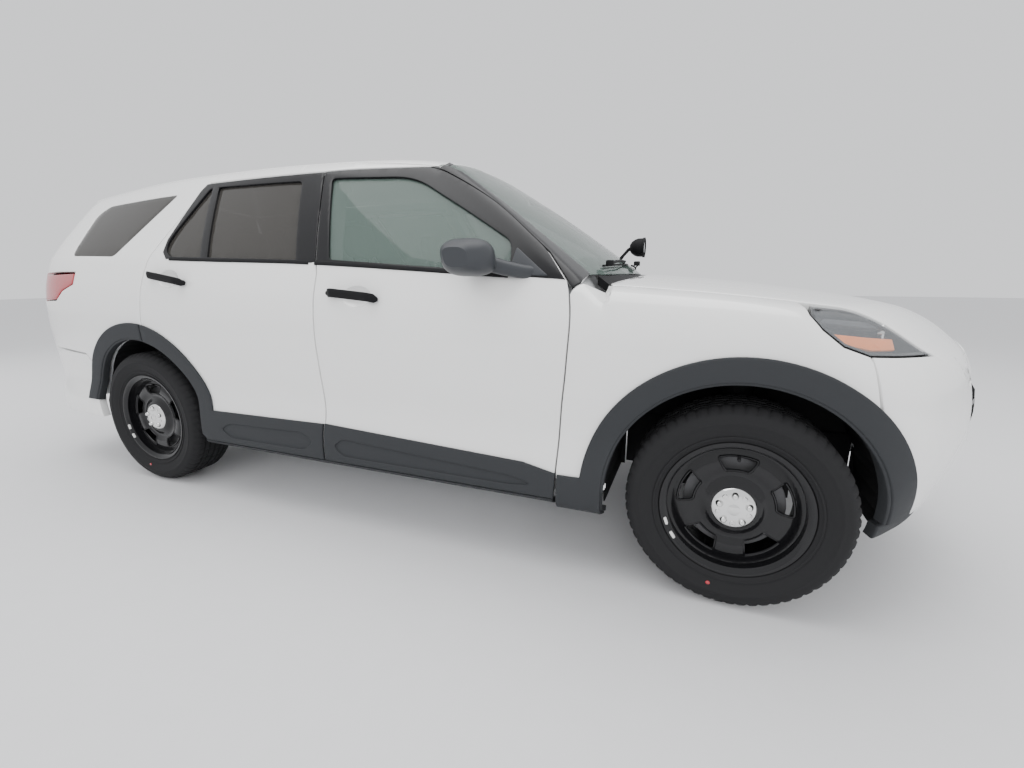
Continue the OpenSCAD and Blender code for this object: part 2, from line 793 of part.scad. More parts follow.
// Dark lower cladding and the strap handle of a door
module door_cladding(front) {
    handle_x = front ? b_x + 230 : b_x - 930;
    handle_z = front ? 1078 : 1142;
    color("#3c4046") panel() {
        // Full thickness, and a thin edge that clears the next panel as the door turns
        intersection() {
            side_layer(-trim_t, -2);
            side_bar() cladding_outline(front, 17);
        }
        intersection() {
            side_layer(-trim_edge_t, -seat_gap);
            side_bar() cladding_outline(front, panel_gap / 2 + 1);
        }
        handle(handle_x, handle_z);
    }
}

module cladding_outline(front, inset) {
    if (front)
        intersection() {
            offset(delta = -inset) front_door_outline();
            polygon([[b_x - 50, sill_z], [a_x + 60, sill_z], [a_x + 60, sill_z + 178],
                [a_x - 150, sill_z + 208], [b_x - 50, sill_z + 250]]);
        }
    else
        intersection() {
            offset(delta = -inset) rear_door_outline();
            union() {
                polygon([[b_x + 50, sill_z], [b_x + 50, sill_z + 249],
                    [rear_axle_x + arch_r, sill_z + 234], [rear_axle_x + arch_r, sill_z]]);
                arch_opening(rear_axle_x, arch_band);
            }
        }
}

module handle(x, z) {
    intersection() {
        side_layer(-52, -22);
        side_bar() hull() for (d = [-88, 88]) translate([x + d, z - d * 0.06]) circle(17, $fn = 24);
    }
    for (d = [-84, 84])
        intersection() {
            side_layer(-40, -seat_gap);
            side_bar() translate([x + d, z - d * 0.06]) circle(15, $fn = 20);
        }
}

// Mirror housing on an arm from the door's front corner
module door_mirror() {
    foot_x = a_x - 150;
    foot_z = belt(foot_x) + 36;
    foot_y = side_y(foot_x, foot_z);
    tip_y = mirror_span / 2;
    color("#4a4e54") {
        intersection() {
            side_layer(-10, -seat_gap);
            side_bar() polygon([[a_x - 236, belt(a_x) + 16], [a_x - 218, belt_z + 60],
                [a_x - 60, belt(a_x) + 10]]);
        }
        hull() {
            translate([foot_x, foot_y + 24, foot_z - 10]) sphere(14, $fn = 20);
            translate([foot_x - 50, foot_y + 24, foot_z - 6]) sphere(14, $fn = 20);
            translate([foot_x - 110, foot_y + 90, foot_z]) sphere(24, $fn = 20);
            translate([foot_x - 60, foot_y + 80, foot_z]) sphere(20, $fn = 20);
        }
        hull() {
            translate([foot_x - 150, foot_y + 60, foot_z + 12]) sphere(36, $fn = 24);
            translate([foot_x - 150, foot_y + 76, foot_z + 66]) sphere(40, $fn = 24);
            translate([foot_x - 250, foot_y + 64, foot_z + 40]) sphere(30, $fn = 24);
            translate([foot_x - 160, tip_y - 34, foot_z + 10]) sphere(34, $fn = 24);
            translate([foot_x - 170, tip_y - 40, foot_z + 62]) sphere(38, $fn = 24);
            translate([foot_x - 260, tip_y - 40, foot_z + 40]) sphere(34, $fn = 24);
        }
    }
}

// ---------- Lids ----------

module hood() {
    color("white") panel() intersection() {
        layer(0, lid_t);
        top_bar() hood_outline();
        translate([a_x, -900, 905 + panel_gap]) cube([2000, 1800, 600]);
    }
}

module liftgate() {
    color("white") panel() {
        difference() {
            intersection() {
                union() {
                    intersection() {
                        layer(0, 18);
                        end_bar(rear_x - 50, gate_x - panel_gap) gate_outline();
                    }
                    intersection() {
                        layer(17, 60);
                        end_bar(rear_x - 50, gate_x - 20) offset(delta = -16) gate_outline();
                    }
                }
                translate([rear_x - 50, -900, bumper_z + 6]) cube([3000, 1800, 1200]);
            }
            end_bar(rear_x - 100, rear_x + 700) gate_window();
            translate([rear_x - 100, -plate_w / 2 - 12, plate_z - plate_h / 2 - 12])
                cube([plate_x + plate_t + seat_gap - rear_x + 100, plate_w + 24, plate_h + 24]);
        }
        // Spoiler over the rear window
        hull() both() {
            translate([gate_x - 40, 540, top_z(gate_x - 40, 540) - 24]) sphere(16, $fn = 16);
            translate([gate_x - 150, 560, top_z(gate_x - 150, 560) - 14]) sphere(12, $fn = 16);
            translate([gate_x - 40, 0, top_z(gate_x - 40, 0) - 24]) sphere(16, $fn = 16);
            translate([gate_x - 160, 0, top_z(gate_x - 160, 0) - 14]) sphere(12, $fn = 16);
        }
    }
}

module liftgate_glass() {
    color("#3c4144") panel() intersection() {
        layer(8, 8 + glass_t);
        end_bar(rear_x - 50, rear_x + 700) offset(delta = -seat_gap) gate_window();
    }
}

// Flat bracket for a licence plate in a pocket of the liftgate, with its four screw holes
module rear_plate_bracket() {
    color("#1c1c1e") difference() {
        translate([plate_x, -plate_w / 2, plate_z - plate_h / 2]) cube([plate_t, plate_w, plate_h]);
        for (y = [-1, 1], z = [-1, 1])
            translate([plate_x - 1, y * plate_pitch_y / 2, plate_z + z * plate_pitch_z / 2])
                rotate([0, 90, 0]) cylinder(r = plate_hole_r, h = plate_t + 2, $fn = 24);
    }
}

// Reinforced pads under the sills for a jack or a lift
module jack_pads() {
    color("#2a2a2c") both() for (x = [a_x - 190, rear_axle_x + arch_r + 130])
        translate([x - 40, half_w - 241, sill_z]) cube([80, 70, 20 - seat_gap]);
}

// ---------- Wheels ----------

module tyre_profile() {
    h = tyre_w / 2;
    half = [[bead_r + seat_gap, bead_y - seat_gap], [rim_r + 3, bead_y - seat_gap],
        [rim_r + 14, h - 13], [tyre_r - 62, h], [tyre_r - 26, h - 5],
        [tyre_r - 7, h - 22], [tyre_r, h - 46]];
    polygon(concat(half, [for (p = reversed(half)) [p[0], -p[1]]]));
}

module tyre(x, left) {
    color("#232325") translate([x, left ? wheel_y : -wheel_y, axle_z])
        rotate([90, 0, 0]) rotate_extrude($fn = 96) tyre_profile();
}

// Steel wheel, brake disc and hub, with the outside towards -Z before turning
module steel_wheel() {
    lip = bead_y + 8;
    drop = bead_r - 24;
    difference() {
        rotate_extrude($fn = 96) polygon([[rim_r, -lip], [rim_r, -bead_y], [bead_r, -bead_y],
            [bead_r, -66], [drop, -48], [drop, 30], [bead_r, 50], [bead_r, bead_y],
            [rim_r, bead_y], [rim_r, lip], [bead_r - 6, lip - 4], [bead_r - 7, 52],
            [drop - 7, 34], [drop - 7, -26], [drop - 16, -46], [150, -56], [112, -54],
            [92, -64], [84, -72], [0.01, -72], [0.01, -80], [88, -80], [98, -72],
            [114, -62], [150, -64], [drop - 18, -54], [drop - 7, -62], [bead_r - 8, -80],
            [bead_r - 8, -lip + 4]]);
        for (i = [0:wheel_windows - 1])
            rotate([0, 0, 90 + i * 360 / wheel_windows]) translate([0, 0, -lip])
                linear_extrude(90) polygon(concat(arc(0, 0, 182, -20, 20, 8),
                    arc(0, 0, 128, 15, -15, 6)));
    }
    // Hub, brake disc and the stub that turns in the carrier
    translate([0, 0, -73]) cylinder(r = 74, h = 48);
    translate([0, 0, -26]) cylinder(r = 168, h = 26);
    translate([0, 0, -1]) cylinder(r = stub_r, h = stub_end + 1);
}

module wheel(x, left) {
    color("#101012") translate([x, left ? wheel_y : -wheel_y, axle_z])
        rotate([left ? 90 : -90, 0, 0]) steel_wheel();
}

// ---------- Chassis ----------

// Carrier with the bore for a wheel's stub axle, centred on the axle line
module hub_carrier() {
    difference() {
        translate([0, wheel_y - 42, 0]) rotate([90, 0, 0]) cylinder(r = 66, h = 62);
        translate([0, wheel_y - 30, 0]) rotate([90, 0, 0])
            cylinder(r = stub_r + stub_gap, h = stub_end - 30 + seat_gap);
    }
}

// Steered upright between the upper and the lower arm
module knuckle() {
    color("#6a6c70") translate([front_axle_x, 0, axle_z]) difference() {
        union() {
            hub_carrier();
            translate([-30, kingpin_y - 30, 40]) cube([60, 46, 82]);
            translate([-30, kingpin_y - 30, -122]) cube([60, 46, 82]);
            translate([-128, kingpin_y - 30, -16]) cube([80, 26, 32]);
        }
        translate([0, wheel_y - 30, 0]) rotate([90, 0, 0])
            cylinder(r = stub_r + stub_gap, h = stub_end - 30 + seat_gap);
        for (z = [82, -123])
            translate([0, kingpin_y, z]) cylinder(r = kingpin_r + stub_gap, h = 41);
    }
}

// Cross member, arms with the knuckle pins, and coil struts
module front_subframe() {
    color("#2a2a2c") {
        translate([front_axle_x - 260, -400, subframe_z]) cube([520, 800, 70]);
        translate([front_axle_x - 200, -500, 292]) rotate([-90, 0, 0])
            cylinder(r = 26, h = 1000);
        both() translate([front_axle_x, 0, axle_z]) {
            translate([-45, 380, -158]) cube([90, kingpin_y + 20 - 380, 35.7]);
            translate([0, kingpin_y, -124]) cylinder(r = kingpin_r, h = 40);
            translate([-30, 490 + seat_gap, 122.3]) cube([60, kingpin_y - 470 - seat_gap, 24]);
            translate([0, kingpin_y, 83]) cylinder(r = kingpin_r, h = 40);
            translate([0, 600, -130]) cylinder(r = 34, h = 560);
            translate([0, 600, 180]) cylinder(r = 62, h = 220);
        }
    }
}

// Rear cross member, arms, hub carriers and dampers
module rear_axle() {
    color("#2a2a2c") {
        translate([rear_axle_x - 220, -480, 300]) cube([440, 960, 60]);
        both() {
            translate([rear_axle_x, 0, axle_z]) hub_carrier();
            translate([rear_axle_x - 150, 470, 262]) cube([300, 160, 40]);
            translate([rear_axle_x - 40, 620, 262]) cube([80, wheel_y - 90 - 620, 60]);
            translate([rear_axle_x - 120, 560, 290])
                cylinder(r = 34, h = load_z - seat_gap - 290);
        }
    }
}

module engine() {
    color("#55585c") {
        translate([front_axle_x - 330, -330, 380]) cube([720, 660, 560]);
        translate([front_axle_x - 60, -200, subframe_z + 70 + seat_gap]) cube([260, 400, 110]);
    }
}

module exhaust() {
    color("#8a8d90") {
        translate([b_x - 900, 250, 200]) cube([560, 330, 60]);
        for (y = [-420, -360])
            translate([rear_x + 90, y, 290]) rotate([0, 90, 0]) cylinder(r = 32, h = 460);
        translate([rear_x + 540, -520, 250]) cube([180, 300, 90]);
        translate([rear_x + 630, -370, 330]) cylinder(r = 8, h = load_z - seat_gap - 330);
    }
}

// ---------- Cabin ----------

module seat(x, y) {
    translate([x, y, 0]) {
        translate([-260, -seat_w / 2, seat_z - 150]) cube([520, seat_w, 140]);
        translate([-300, -seat_w / 2 + 20, seat_z - 60]) rotate([0, -18, 0])
            cube([120, seat_w - 40, 620]);
        translate([-490, -130, seat_z + 560]) rotate([0, -10, 0]) cube([90, 260, 190]);
        translate([-462, -50, seat_z + 480]) cube([24, 100, 130]);
        translate([-180, -200, sill_z + 50]) cube([380, 400, seat_z - 150 - sill_z - 50]);
    }
}
module front_seats() {
    color("#6b6660") both() seat(b_x + 250, 395);
}
module rear_seat() {
    color("#6b6660") {
        translate([b_x - 900, -640, seat_z - 110]) cube([520, 1280, 140]);
        translate([b_x - 960, -620, seat_z - 20]) rotate([0, -20, 0]) cube([130, 1240, 640]);
        translate([b_x - 800, -500, sill_z + 50]) cube([360, 1000, seat_z - 110 - sill_z - 50]);
    }
}
module dashboard() {
    color("#3a3a3c") panel() {
        hull() {
            translate([a_x - 280, -760, 900]) cube([200, 1520, 40]);
            translate([a_x - 250, -740, 1060]) cube([170, 1480, 30]);
        }
        translate([a_x - 900, -110, sill_z + 50]) cube([640, 220, 420]);
        translate([a_x - 300, -110, sill_z + 50]) cube([200, 220, 700]);
        // Steering column shroud
        steering_place() translate([0, 0, -230]) cylinder(r = 44, h = 150);
    }
}
module steering_place() {
    translate([a_x - 420, 395, 960]) rotate([0, -65, 0]) children();
}
module steering_wheel() {
    color("#1d1d1f") steering_place() {
        rotate_extrude($fn = 64) translate([steering_r - 15, 0]) circle(15, $fn = 24);
        cylinder(r = 62, h = 30, center = true);
        for (t = [0, 120, 240]) rotate([0, 0, t]) translate([30, -16, -8])
            cube([steering_r - 40, 32, 16]);
        translate([0, 0, seat_gap - 80]) cylinder(r = 26, h = 80);
    }
}

// Wiper arms and blades at the foot of the windshield
module wipers() {
    color("#141416") for (y0 = [120, -560]) {
        x0 = cowl_x - 20;
        for (i = [0:5]) {
            y = y0 + i * 90;
            translate([cowl_x - 56 - 50 * ((y + 45) / 700) ^ 2, y,
                top_z(cowl_x - 56 - 50 * ((y + 45) / 700) ^ 2, y + 45) + 4])
                cube([14, 91, 22]);
        }
    }
}

// Round spotlight on the left windshield post
module spotlight() {
    z = belt_z + 137;
    color("#121214") {
        translate([a_x + 20, 862, z]) rotate([0, 90, 0]) cylinder(r = 62, h = 50, $fn = 48);
        translate([a_x - 20, 862, z]) rotate([0, 90, 0]) cylinder(r1 = 40, r2 = 62, h = 42);
        translate([a_x - 40, 862, z - 3]) rotate([0, 90, 0]) cylinder(r = 12, h = 40);
        // Arm down to its foot on the windshield post
        panel() difference() {
            hull() {
                translate([a_x - 30, 862, z - 6]) sphere(10);
                translate([a_x - 104, 836, z - 96]) sphere(10);
            }
            car_block(-seat_gap);
        }
    }
}

side_frames();
floor_pan();
firewall();
front_rails();
body_sides();
roof();
fenders();
front_bumper();
rear_bumper();
front_valance();
grille();
headlights();
taillights();
windshield();
quarter_glass();
arch_mouldings();
wheel_liners();
cowl();
wipers();
spotlight();
engine();
exhaust();
front_subframe();
rear_axle();
front_seats();
rear_seat();
dashboard();
steering_wheel();
on_side(true) door_slab(true, true);  // front_left_door
on_side(false) door_slab(true, true);  // front_right_door
on_side(true) door_slab(false, true);  // rear_left_door
on_side(false) door_slab(false, true);  // rear_right_door
on_side(true) door_slab(true, false);  // front_left_window_frame
on_side(false) door_slab(true, false);  // front_right_window_frame
on_side(true) door_slab(false, false);  // rear_left_window_frame
on_side(false) door_slab(false, false);  // rear_right_window_frame
on_side(true) door_glass(true);  // front_left_glass
on_side(false) door_glass(true);  // front_right_glass
on_side(true) door_glass(false);  // rear_left_glass
on_side(false) door_glass(false);  // rear_right_glass
on_side(true) door_cladding(true);  // front_left_cladding
on_side(false) door_cladding(true);  // front_right_cladding
on_side(true) door_cladding(false);  // rear_left_cladding
on_side(false) door_cladding(false);  // rear_right_cladding
on_side(true) door_mirror();  // left_mirror
on_side(false) door_mirror();  // right_mirror
hood();
liftgate();
liftgate_glass();
rear_plate_bracket();
jack_pads();
on_side(true) knuckle();  // left_knuckle
on_side(false) knuckle();  // right_knuckle
tyre(front_axle_x, true);  // front_left_tyre
tyre(front_axle_x, false);  // front_right_tyre
tyre(rear_axle_x, true);  // rear_left_tyre
tyre(rear_axle_x, false);  // rear_right_tyre
wheel(front_axle_x, true);  // front_left_wheel
wheel(front_axle_x, false);  // front_right_wheel
wheel(rear_axle_x, true);  // rear_left_wheel
wheel(rear_axle_x, false);  // rear_right_wheel
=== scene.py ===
import math

import bmesh
import bpy
import numpy as np
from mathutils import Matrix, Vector
from mathutils.geometry import delaunay_2d_cdt


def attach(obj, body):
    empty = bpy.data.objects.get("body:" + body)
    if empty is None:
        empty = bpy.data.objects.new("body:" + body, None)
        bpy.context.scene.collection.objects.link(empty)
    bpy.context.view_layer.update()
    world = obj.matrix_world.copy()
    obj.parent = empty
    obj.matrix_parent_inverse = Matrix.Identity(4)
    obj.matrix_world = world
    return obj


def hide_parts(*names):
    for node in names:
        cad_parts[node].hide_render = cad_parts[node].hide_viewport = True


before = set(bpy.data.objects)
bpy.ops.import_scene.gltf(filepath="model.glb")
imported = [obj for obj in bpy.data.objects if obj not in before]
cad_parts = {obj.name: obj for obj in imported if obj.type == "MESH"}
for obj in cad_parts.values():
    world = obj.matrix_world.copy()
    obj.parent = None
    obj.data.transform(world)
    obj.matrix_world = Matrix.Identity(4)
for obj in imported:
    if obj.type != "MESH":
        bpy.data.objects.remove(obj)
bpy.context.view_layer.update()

# ---------------------------------------------------------------- sizes, in millimetres

front_x, rear_x = 2524.5, -2524.5
front_axle, rear_axle = 1609.5, -1415.5
sill_z, door_z, waist_z = 240.0, 312.0, 900.0
belt_z, roof_z, rail_z = 1213.0, 1763.0, 1650.0
half_w, arch_r, axle_z = 986.0, 450.0, 372.0
a_x, b_x, c_x = 989.5, -148.5, -1320.5
cowl_x, cowl_z = 1124.5, 1172.0
header_x, header_z = 329.5, 1697.0
gate_x, bumper_z = -2139.5, 690.0
wheel_y = 850.5

# ---------------------------------------------------------------- body surface


class Curve:
    """Smooth curve through keys."""

    def __init__(self, keys):
        k = np.array(keys, float)
        self.x, self.v = k[:, 0], k[:, 1]
        a = np.maximum(np.arange(len(k)) - 1, 0)
        b = np.minimum(np.arange(len(k)) + 1, len(k) - 1)
        self.m = (self.v[b] - self.v[a]) / (self.x[b] - self.x[a])

    def __call__(self, x):
        x = np.asarray(x, float)
        i = np.clip(np.searchsorted(self.x, x, "right") - 1, 0, len(self.x) - 2)
        w = self.x[i + 1] - self.x[i]
        t = np.clip((x - self.x[i]) / w, 0, 1)
        h = t * t * (3 - 2 * t)
        return (
            (1 - h) * self.v[i]
            + h * self.v[i + 1]
            + (t**3 - 2 * t**2 + t) * self.m[i] * w
            + (t**3 - t**2) * self.m[i + 1] * w
        )


belt_curve = Curve([[rear_x, 49], [rear_axle - 170, 43], [b_x - 730, 22], [b_x, 0],
    [a_x, -68], [front_axle + 190, -118], [front_x, -190]])
plan_curve = Curve([[rear_x, 210], [rear_x + 74, 130], [rear_x + 224, 62],
    [rear_x + 424, 26], [rear_axle - 200, 10], [rear_axle + 300, 2], [b_x, 0], [a_x, 3],
    [front_axle, 4], [front_axle + 240, 16], [front_axle + 440, 48],
    [front_axle + 640, 112], [front_axle + 780, 190], [front_x, 300]])
rail_curve = Curve([[rear_x, 100], [rear_x + 308, 76], [rear_axle, 20], [b_x - 140, 0],
    [header_x, 34], [a_x, 10]])
side_curve = Curve([[sill_z - 60, 190], [sill_z, 120], [door_z - 24, 22], [door_z, 7],
    [sill_z + 180, 7], [sill_z + 320, 30], [sill_z + 500, 13], [waist_z, 0],
    [waist_z + 150, 10], [belt_z - 62, 38], [belt_z, 61]])
hood_curve = Curve([[cowl_x, cowl_z + 3], [front_axle - 110, cowl_z - 25],
    [front_axle + 190, cowl_z - 58], [front_axle + 490, cowl_z - 104],
    [front_x - 224, cowl_z - 160], [front_x - 144, cowl_z - 196], [front_x, cowl_z - 290]])
roof_curve = Curve([[rear_x, roof_z - 116], [rear_x + 308, roof_z - 80],
    [rear_axle - 480, roof_z - 46], [rear_axle, roof_z - 12], [b_x - 600, roof_z],
    [b_x - 200, roof_z - 5], [b_x + 150, roof_z - 19], [header_x - 100, roof_z - 42],
    [header_x, header_z]])
nose_curve = Curve([[sill_z - 40, -150], [sill_z + 90, -80], [sill_z + 290, -16],
    [sill_z + 420, 0], [sill_z + 560, -22], [sill_z + 640, -66], [sill_z + 690, -122],
    [sill_z + 780, -230], [roof_z, -1300]])
tail_curve = Curve([[sill_z - 40, 120], [sill_z + 120, 40], [sill_z + 300, 0],
    [bumper_z - 40, 2], [bumper_z + 40, 40], [belt_z - 110, 92], [belt_z, 130],
    [rail_z - 60, 300], [roof_z, 350]])
sweep_curve = Curve([[0, 0], [200, 14], [400, 82], [600, 190], [740, 290], [860, 400],
    [1000, 600]])
rear_sweep_curve = Curve([[0, 0], [400, 10], [600, 28], [780, 66], [900, 120], [1000, 190]])


def belt(x):
    return belt_z + belt_curve(x)


def side_y(x, z):
    b = belt(x)
    up = z > b
    read = np.where(z < waist_z, z, waist_z + (z - waist_z) * (belt_z - waist_z) / (b - waist_z))
    t = (z - b) / (rail_z - b)
    tumble = 61 * (1 - t) + (318 + rail_curve(x)) * t - 26 * t * (1 - t)
    fade = np.where(up, np.maximum(0, 1 - (z - b) / 430), 1)
    return half_w - plan_curve(x) * fade - np.where(up, tumble, side_curve(read))


def top_z(x, y):
    t = (x - header_x) / (cowl_x - header_x)
    screen = header_z + (cowl_z - header_z) * t + 60 * t * (1 - t)
    centre = np.where(x > cowl_x, hood_curve(x), np.where(x > header_x, screen, roof_curve(x)))
    y = np.abs(y)
    fall = np.where(x > cowl_x, 56 * (y / 900) ** 2.6,
        np.where(x > header_x, (34 + 26 * t) * (y / 700) ** 2, 62 * (y / 640) ** 3))
    return centre - fall


def soft_max(a, b, k):
    h = np.maximum(k - np.abs(a - b), 0) / k
    return np.maximum(a, b) + h * h * k / 4


def field(p):
    """Below zero inside the car, above zero outside."""
    x, y, z = p[:, 0], np.abs(p[:, 1]), p[:, 2]
    side = y - side_y(x, z)
    top = z - top_z(x, y)
    nose = x - (front_x + nose_curve(z) - sweep_curve(y))
    tail = (rear_x + tail_curve(z) + rear_sweep_curve(y)) - x
    return soft_max(soft_max(side, top, 44), soft_max(nose, tail, 1), 50)


def solve(origin, way, far=2600.0):
    low, high = np.full(len(origin), 40.0), np.full(len(origin), far)
    for _ in range(26):
        mid = (low + high) / 2
        out = field(origin + way * mid[:, None]) > 0
        high, low = np.where(out, mid, high), np.where(out, low, mid)
    return origin + way * low[:, None]


def normals(p):
    """Outward unit normals of the surface, by central differences."""
    g = np.empty_like(p)
    for i in range(3):
        e = np.zeros(3)
        e[i] = 1.5
        g[:, i] = field(p + e) - field(p - e)
    return g / np.maximum(np.linalg.norm(g, axis=1), 1e-9)[:, None]


SCALE = 900.0


class Chart:
    """Turns two coordinates into a point on the surface, and back.

    Rays fan out from a line. One coordinate runs along the line, the other is the ray's angle.
    """

    def __init__(self, centre, along, cos_axis, sin_axis, way, order):
        self.centre = np.array(centre, float)
        self.along = along
        self.cos_axis = cos_axis
        self.sin_axis = sin_axis
        self.way = way
        self.order = order

    def uv(self, p):
        q = p - self.centre
        angle = SCALE * np.arctan2(q[:, self.sin_axis], self.way * q[:, self.cos_axis])
        return np.stack([p[:, self.along], angle][:: self.order], 1)

    def point(self, uv):
        run, angle = uv[:, :: self.order].T
        t = angle / SCALE
        origin = np.tile(self.centre, (len(uv), 1))
        origin[:, self.along] = run
        ray = np.zeros((len(uv), 3))
        ray[:, self.cos_axis] = self.way * np.cos(t)
        ray[:, self.sin_axis] = np.sin(t)
        return solve(origin, ray)

    def normals(self, p):
        return normals(p)


SIDE = Chart((0, 0, 500), 0, 1, 2, 1, 1)
FRONT = Chart((1860, 0, 0), 2, 0, 1, 1, -1)
REAR = Chart((-1715, 0, 0), 2, 0, 1, -1, -1)
GATE = Chart((-1700, 0, 1200), 1, 0, 2, -1, 1)

# ---------------------------------------------------------------- outlines


def bend(points, n=8):
    """Smooth open curve through the points."""
    p = np.array(points, float)
    q = np.vstack([2 * p[0] - p[1], p, 2 * p[-1] - p[-2]])
    out = []
    for i in range(len(p) - 1):
        a, b, c, d = q[i : i + 4]
        for t in np.arange(n) / n:
            out.append(0.5 * (2 * b + (c - a) * t + (2 * a - 5 * b + 4 * c - d) * t * t
                + (3 * b - a - 3 * c + d) * t**3))
    return out + [p[-1]]


def rounded(points, r):
    """Closed outline with its corners rounded; r is one radius or one for each corner."""
    p = [np.array(q, float) for q in points]
    radii = [r] * len(p) if np.isscalar(r) else r
    out = []
    for i, c in enumerate(p):
        a, b = p[i - 1], p[(i + 1) % len(p)]
        ra = min(radii[i], 0.45 * np.linalg.norm(a - c))
        rb = min(radii[i], 0.45 * np.linalg.norm(b - c))
        s, e = c + (a - c) / np.linalg.norm(a - c) * ra, c + (b - c) / np.linalg.norm(b - c) * rb
        steps = 1 if radii[i] < 1 else 6
        for t in np.arange(steps + 1) / steps:
            out.append((1 - t) ** 2 * s + 2 * t * (1 - t) * c + t * t * e)
    return out


def dense(points, step=16.0):
    """The closed outline with no edge longer than step and no doubled corner."""
    p = np.array(points, float)
    keep = [p[0]]
    for q in p[1:]:
        if np.linalg.norm(q - keep[-1]) > 0.8:
            keep.append(q)
    if np.linalg.norm(keep[0] - keep[-1]) < 0.8:
        keep.pop()
    out = []
    for a, b in zip(keep, keep[1:] + keep[:1]):
        n = max(1, int(math.ceil(np.linalg.norm(b - a) / step)))
        out += [a + (b - a) * i / n for i in range(n)]
    return np.array(out)


def from_side(points):
    p = np.array(points, float)
    o = np.stack([p[:, 0], 0 * p[:, 0], p[:, 1]], 1)
    return solve(o, np.tile([0.0, 1.0, 0.0], (len(o), 1)))


def from_top(points):
    p = np.array(points, float)
    o = np.stack([p[:, 0], p[:, 1], 0 * p[:, 0] + 500], 1)
    return solve(o, np.tile([0.0, 0.0, 1.0], (len(o), 1)))


def from_end(points, way):
    p = np.array(points, float)
    x0 = 1500.0 if way > 0 else -1500.0
    o = np.stack([0 * p[:, 0] + x0, p[:, 0], p[:, 1]], 1)
    return solve(o, np.tile([float(way), 0.0, 0.0], (len(o), 1)))


def shift(loop, g):
    """Moves a closed outline outwards by g."""
    area = 0.5 * np.sum(loop[:, 0] * np.roll(loop[:, 1], -1) - loop[:, 1] * np.roll(loop[:, 0], -1))
    e = np.roll(loop, -1, 0) - loop
    e /= np.maximum(np.linalg.norm(e, axis=1), 1e-9)[:, None]
    n = np.stack([e[:, 1], -e[:, 0]], 1) * (1 if area > 0 else -1)
    m = n + np.roll(n, 1, 0)
    m /= np.maximum(np.linalg.norm(m, axis=1), 1e-6)[:, None]
    c = np.maximum(np.sum(m * n, 1), 0.5)
    return loop + m * (g / c)[:, None]


def inside(p, loops):
    hit = np.zeros(len(p), bool)
    for q in loops:
        a, b = q, np.roll(q, -1, 0)
        for (x0, y0), (x1, y1) in zip(a, b):
            if y0 == y1:
                continue
            cross = (y0 > p[:, 1]) != (y1 > p[:, 1])
            hit ^= cross & (p[:, 0] < (x1 - x0) * (p[:, 1] - y0) / (y1 - y0) + x0)
    return hit


# ---------------------------------------------------------------- meshes


class Build:
    """Collects vertices and faces in millimetres."""

    def __init__(self):
        self.v, self.f, self.n = [], [], 0

    def add(self, v, f):
        self.v.append(np.asarray(v, float))
        self.f += [tuple(int(i) + self.n for i in q) for q in f]
        self.n += len(v)
        return self

    def rings(self, rings, closed=True, caps=(False, False)):
        """Skin over rings of equal length."""
        m = len(rings[0])
        v = np.vstack(rings)
        f = []
        for i in range(len(rings) - 1):
            for j in range(m if closed else m - 1):
                k = (j + 1) % m
                f.append((i * m + j, i * m + k, (i + 1) * m + k, (i + 1) * m + j))
        if caps[0]:
            f.append(tuple(range(m))[::-1])
        if caps[1]:
            f.append(tuple((len(rings) - 1) * m + j for j in range(m)))
        return self.add(v, f)

    def lathe(self, profile, n=96, closed=True):
        """Turns a profile of (radius, along) about the Y axis."""
        p = np.array(profile, float)
        t = np.arange(n) * 2 * math.pi / n
        rings = [np.stack([r * np.cos(t), 0 * t + a, r * np.sin(t)], 1) for r, a in p]
        if closed:
            rings.append(rings[0])
        return self.rings(rings)

    def box(self, low, high, r=3.0, seg=2):
        """Box with rounded edges."""
        bm = bmesh.new()
        low, high = np.array(low, float), np.array(high, float)
        bmesh.ops.create_cube(bm, size=1.0)
        for q in bm.verts:
            q.co = Vector((low + high) / 2) + Vector([(high - low)[i] * q.co[i] for i in range(3)])
        if r > 0:
            bmesh.ops.bevel(bm, geom=bm.edges[:], offset=min(r, 0.45 * min(high - low)),
                segments=seg, profile=0.5, affect="EDGES")
        bm.verts.index_update()
        v = [tuple(q.co) for q in bm.verts]
        f = [[q.index for q in g.verts] for g in bm.faces]
        bm.free()
        return self.add(v, f)

    def moved(self, rot=None, at=(0, 0, 0)):
        v = np.vstack(self.v)
        if rot is not None:
            v = v @ np.array(rot, float).T
        self.v = [v + np.array(at, float)]
        return self

    def join(self, other):
        """Takes in a copy of another build."""
        return self.add(np.vstack(other.v), other.f)

    def upright(self):
        """Swaps Y and Z, so that a lathe's axis stands up."""
        self.v = [np.vstack(self.v)[:, [0, 2, 1]]]
        return self

    def tube(self, path, r, n=12):
        """Round tube along a path."""
        p = np.array(path, float)
        rings, up = [], None
        for i in range(len(p)):
            d = p[min(i + 1, len(p) - 1)] - p[max(i - 1, 0)]
            d /= np.linalg.norm(d)
            if up is None:
                up = np.cross(d, [0.3, 0.2, 0.93])
            s = np.cross(d, up)
            s /= np.linalg.norm(s)
            up = np.cross(s, d)
            up /= np.linalg.norm(up)
            rr = r if np.isscalar(r) else r[i]
            t = np.arange(n) * 2 * math.pi / n
            rings.append(p[i] + rr * (np.cos(t)[:, None] * up + np.sin(t)[:, None] * s))
        return self.rings(rings, caps=(True, True))


def turn(axis, degrees):
    """Rotation matrix about X, Y or Z."""
    c, s = math.cos(math.radians(degrees)), math.sin(math.radians(degrees))
    return np.array({"X": [[1, 0, 0], [0, c, -s], [0, s, c]], "Y": [[c, 0, s], [0, 1, 0], [-s, 0, c]],
        "Z": [[c, -s, 0], [s, c, 0], [0, 0, 1]]}[axis], float)


